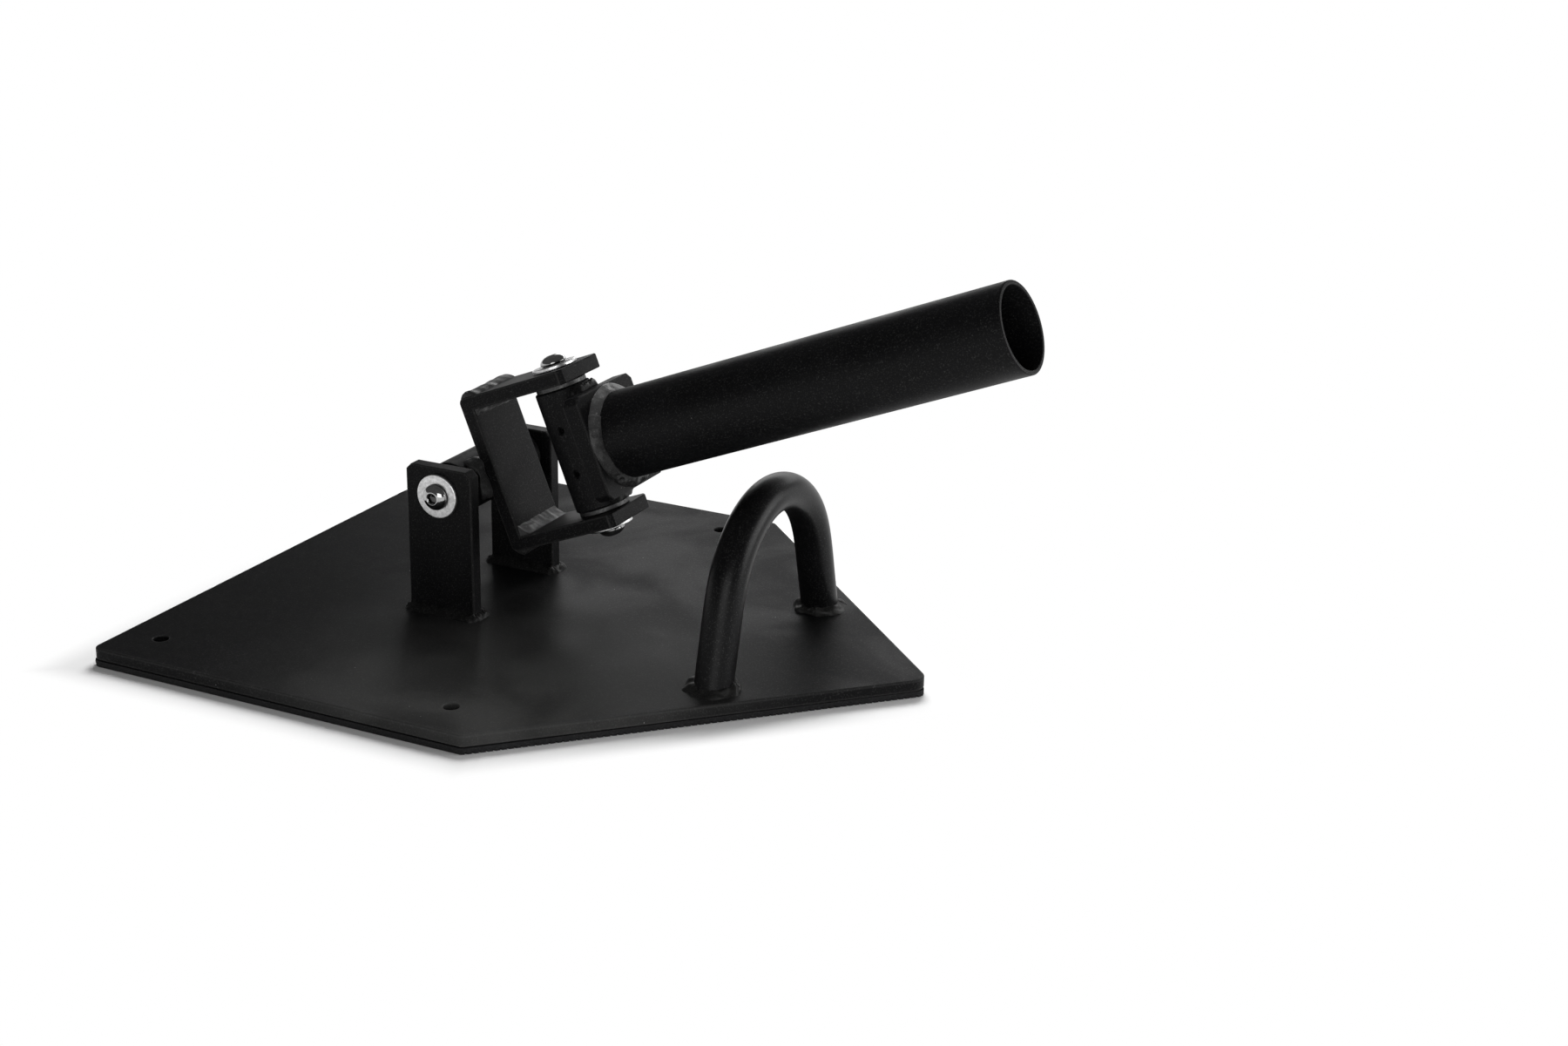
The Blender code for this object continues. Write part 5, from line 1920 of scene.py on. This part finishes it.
@dataclass(frozen=True)
class Studio:
    """White floor, dim room and the lamps.

    Attributes:
        softboxes: The lamps.
        surround: The brightness of the room.
        backdrop: How high the white backdrop stands, and where it has gone over to the room,
            in degrees. Only the camera and glossy faces see it, so it adds no light.
        floor_half: Half the floor's width.
        shadow_sides: The sides of the zone where the floor takes shadows, which follows the
            plate. Each has x and y of the direction that it faces, the product of that direction
            with a point on the side, and how much less it is in the zone's middle.
        fade: Where the floor starts to go over to even white, and where it has, as shares of
            the way from the zone's middle to its side.
    """

    softboxes: tuple[Softbox, ...] = (
        Softbox("ceiling_softbox", 16, 54, (0.75, 0.70), 10.0, 1.25, mirrored=False),
        Softbox("back_softbox", 6.5, 20.5, (1.12, 0.23), 3.2, 1.0),
        Softbox("right_softbox", -64, 12, (1.8, 0.9), 5.0),
        Softbox("front_right_softbox", -155, 14, (1.4, 0.9), 3.6),
    )
    surround: float = 0.10
    backdrop: tuple[float, float] = (2.5, 7.0)
    floor_half: float = 40.0
    shadow_sides: tuple[tuple[float, float, float, float], ...] = (
        (-1, 0, 0.1635, 0.245), (0, -1, 0.21, 0.21), (0, 1, 0.21, 0.21),
        (1, 0, 0.3265, 0.245), (1, -1, 0.3265, 0.297), (1, 1, 0.3265, 0.297),
    )
    fade: tuple[float, float] = (1.04, 1.15)

    def build(self) -> None:
        """Make the lamps, the room and the floor."""
        for softbox in self.softboxes:
            softbox.build()
        self.build_room()
        self.build_floor()

    def build_room(self) -> None:
        """Make the dim room, with a white backdrop low down that lights nothing."""
        world = bpy.data.worlds.new("studio_room")
        bpy.context.scene.world = world
        world.use_nodes = True
        tree = world.node_tree
        way = add_node(tree, "ShaderNodeTexCoord").outputs["Generated"]
        rise = add_node(tree, "ShaderNodeSeparateXYZ", {0: way}).outputs[2]
        low, high = (math.sin(math.radians(degrees)) for degrees in self.backdrop)
        white = add_node(
            tree, "ShaderNodeMapRange",
            {"Value": rise, "From Min": low, "From Max": high, "To Min": 1.0, "To Max": 0.0},
            interpolation_type="SMOOTHSTEP",
        ).outputs[0]
        rays = add_node(tree, "ShaderNodeLightPath").outputs
        seen = rays["Is Camera Ray"]
        for ray in ("Is Glossy Ray", "Is Transmission Ray"):
            seen = add_node(
                tree, "ShaderNodeMath", {0: seen, 1: rays[ray]}, operation="MAXIMUM",
            ).outputs[0]
        shown = add_node(tree, "ShaderNodeMath", {0: white, 1: seen}, operation="MULTIPLY")
        level = add_node(
            tree, "ShaderNodeMapRange",
            {"Value": shown.outputs[0], "To Min": self.surround, "To Max": 1.0},
        ).outputs[0]
        tree.links.new(level, tree.nodes["Background"].inputs["Strength"])
        tree.nodes["Background"].inputs["Color"].default_value = linear("#ffffff")

    def build_floor(self) -> None:
        """Make the white paper floor.

        It takes the part's light and shadow in the zone, where each side's share, 1 + (product -
        distance) / half size, is below the fade. Outside it is evenly white.
        """
        half = self.floor_half
        corners = np.array([[-half, -half], [half, -half], [half, half], [-half, half]])
        points = np.column_stack([corners, np.full(4, -GAP)])
        mesh = bpy.data.meshes.new("floor_paper")
        mesh.from_pydata(points.tolist(), [], [(0, 1, 2, 3)])
        floor = bpy.data.objects.new("floor_paper", mesh)
        bpy.context.scene.collection.objects.link(floor)
        material, shader, place = blank_material("floor_paper")
        tree = material.node_tree
        shader.inputs["Base Color"].default_value = linear("#ffffff")
        shader.inputs["Roughness"].default_value = 1.0
        shader.inputs["Specular IOR Level"].default_value = 0.0
        most = 0.0
        for x, y, distance, half_size in self.shadow_sides:
            facing = (x / half_size, y / half_size, 0.0)
            share = add_node(
                tree, "ShaderNodeVectorMath", {0: place.outputs["Object"], 1: facing},
                operation="DOT_PRODUCT",
            ).outputs["Value"]
            share = add_node(
                tree, "ShaderNodeMath", {0: share, 1: 1 - distance / half_size}, operation="ADD",
            ).outputs[0]
            most = add_node(
                tree, "ShaderNodeMath", {0: share, 1: most}, operation="MAXIMUM",
            ).outputs[0]
        fade = add_node(
            tree, "ShaderNodeMapRange",
            {"Value": most, "From Min": self.fade[0], "From Max": self.fade[1]},
            interpolation_type="SMOOTHSTEP",
        ).outputs[0]
        even = add_node(tree, "ShaderNodeEmission").outputs[0]
        both = add_node(
            tree, "ShaderNodeMixShader", {0: fade, 1: shader.outputs[0], 2: even},
        ).outputs[0]
        tree.links.new(both, tree.nodes["Material Output"].inputs["Surface"])
        mesh.materials.append(material)


@dataclass(frozen=True)
class PhotographCamera:
    """The camera of the photograph, from a fit to the part's edges and circles.

    Attributes:
        place: Where it stands.
        focal_pixels: Its focal length in pixels of the photograph.
        photograph_width: The photograph's width in pixels.
        pitch: How far it looks down.
        yaw: How far it is turned from +Y towards -X.
        roll: How far it leans.
        sensor_width: Its sensor's width in millimetres.
        clip: The nearest and the farthest distance that it sees.
    """

    place: tuple[float, float, float] = (0.84535, -1.29054, 0.62059)
    focal_pixels: float = 2755.716
    photograph_width: int = 1800
    pitch: float = math.radians(20.034)
    yaw: float = math.radians(25.683)
    roll: float = math.radians(1.111)
    sensor_width: float = 36.0
    clip: tuple[float, float] = (0.05, 50.0)

    def build(self) -> None:
        """Make the camera and give it to the scene."""
        data = bpy.data.cameras.new("photograph_camera")
        data.sensor_width = self.sensor_width
        data.lens = self.focal_pixels / self.photograph_width * self.sensor_width
        data.clip_start, data.clip_end = self.clip
        camera = bpy.data.objects.new("photograph_camera", data)
        bpy.context.scene.collection.objects.link(camera)
        level = Vector((math.cos(self.yaw), math.sin(self.yaw), 0))
        ahead = Vector((
            -math.sin(self.yaw) * math.cos(self.pitch), math.cos(self.yaw) * math.cos(self.pitch),
            -math.sin(self.pitch),
        ))
        above = level.cross(ahead)
        right = level * math.cos(self.roll) + above * math.sin(self.roll)
        up = above * math.cos(self.roll) - level * math.sin(self.roll)
        turn = Matrix((right, up, -ahead)).transposed().to_4x4()
        camera.matrix_world = Matrix.Translation(self.place) @ turn
        bpy.context.scene.camera = camera


def main() -> None:
    """Dress the frame, light it, and report each piece."""
    logging.basicConfig(level=logging.INFO, format="%(message)s")
    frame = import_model()
    bpy.context.scene.view_settings.view_transform = "Standard"
    materials = paint()
    FloorPlate(materials).build()
    Ears(materials).build()
    Hoop(materials).build()
    PivotHardware(materials).build()
    Yoke(materials).build()
    PivotHardware(
        materials, prefix="swivel", ends=("upper", "lower"), pin_body=Body.YOKE,
        barrel_body=Body.SLEEVE, place=AT_SWIVEL, spacing=0.089, oil_holes=True,
    ).build()
    Sleeve(materials).build()
    bench = Assembly(materials)
    bench.dress(frame, "rubber_mat", Slot.RUBBER)
    for pin in ("tilt_pin", "swivel_pin"):
        bench.dress(frame, pin, Slot.GROUND)
    Studio().build()
    PhotographCamera().build()


if __name__ == "__main__":
    main()
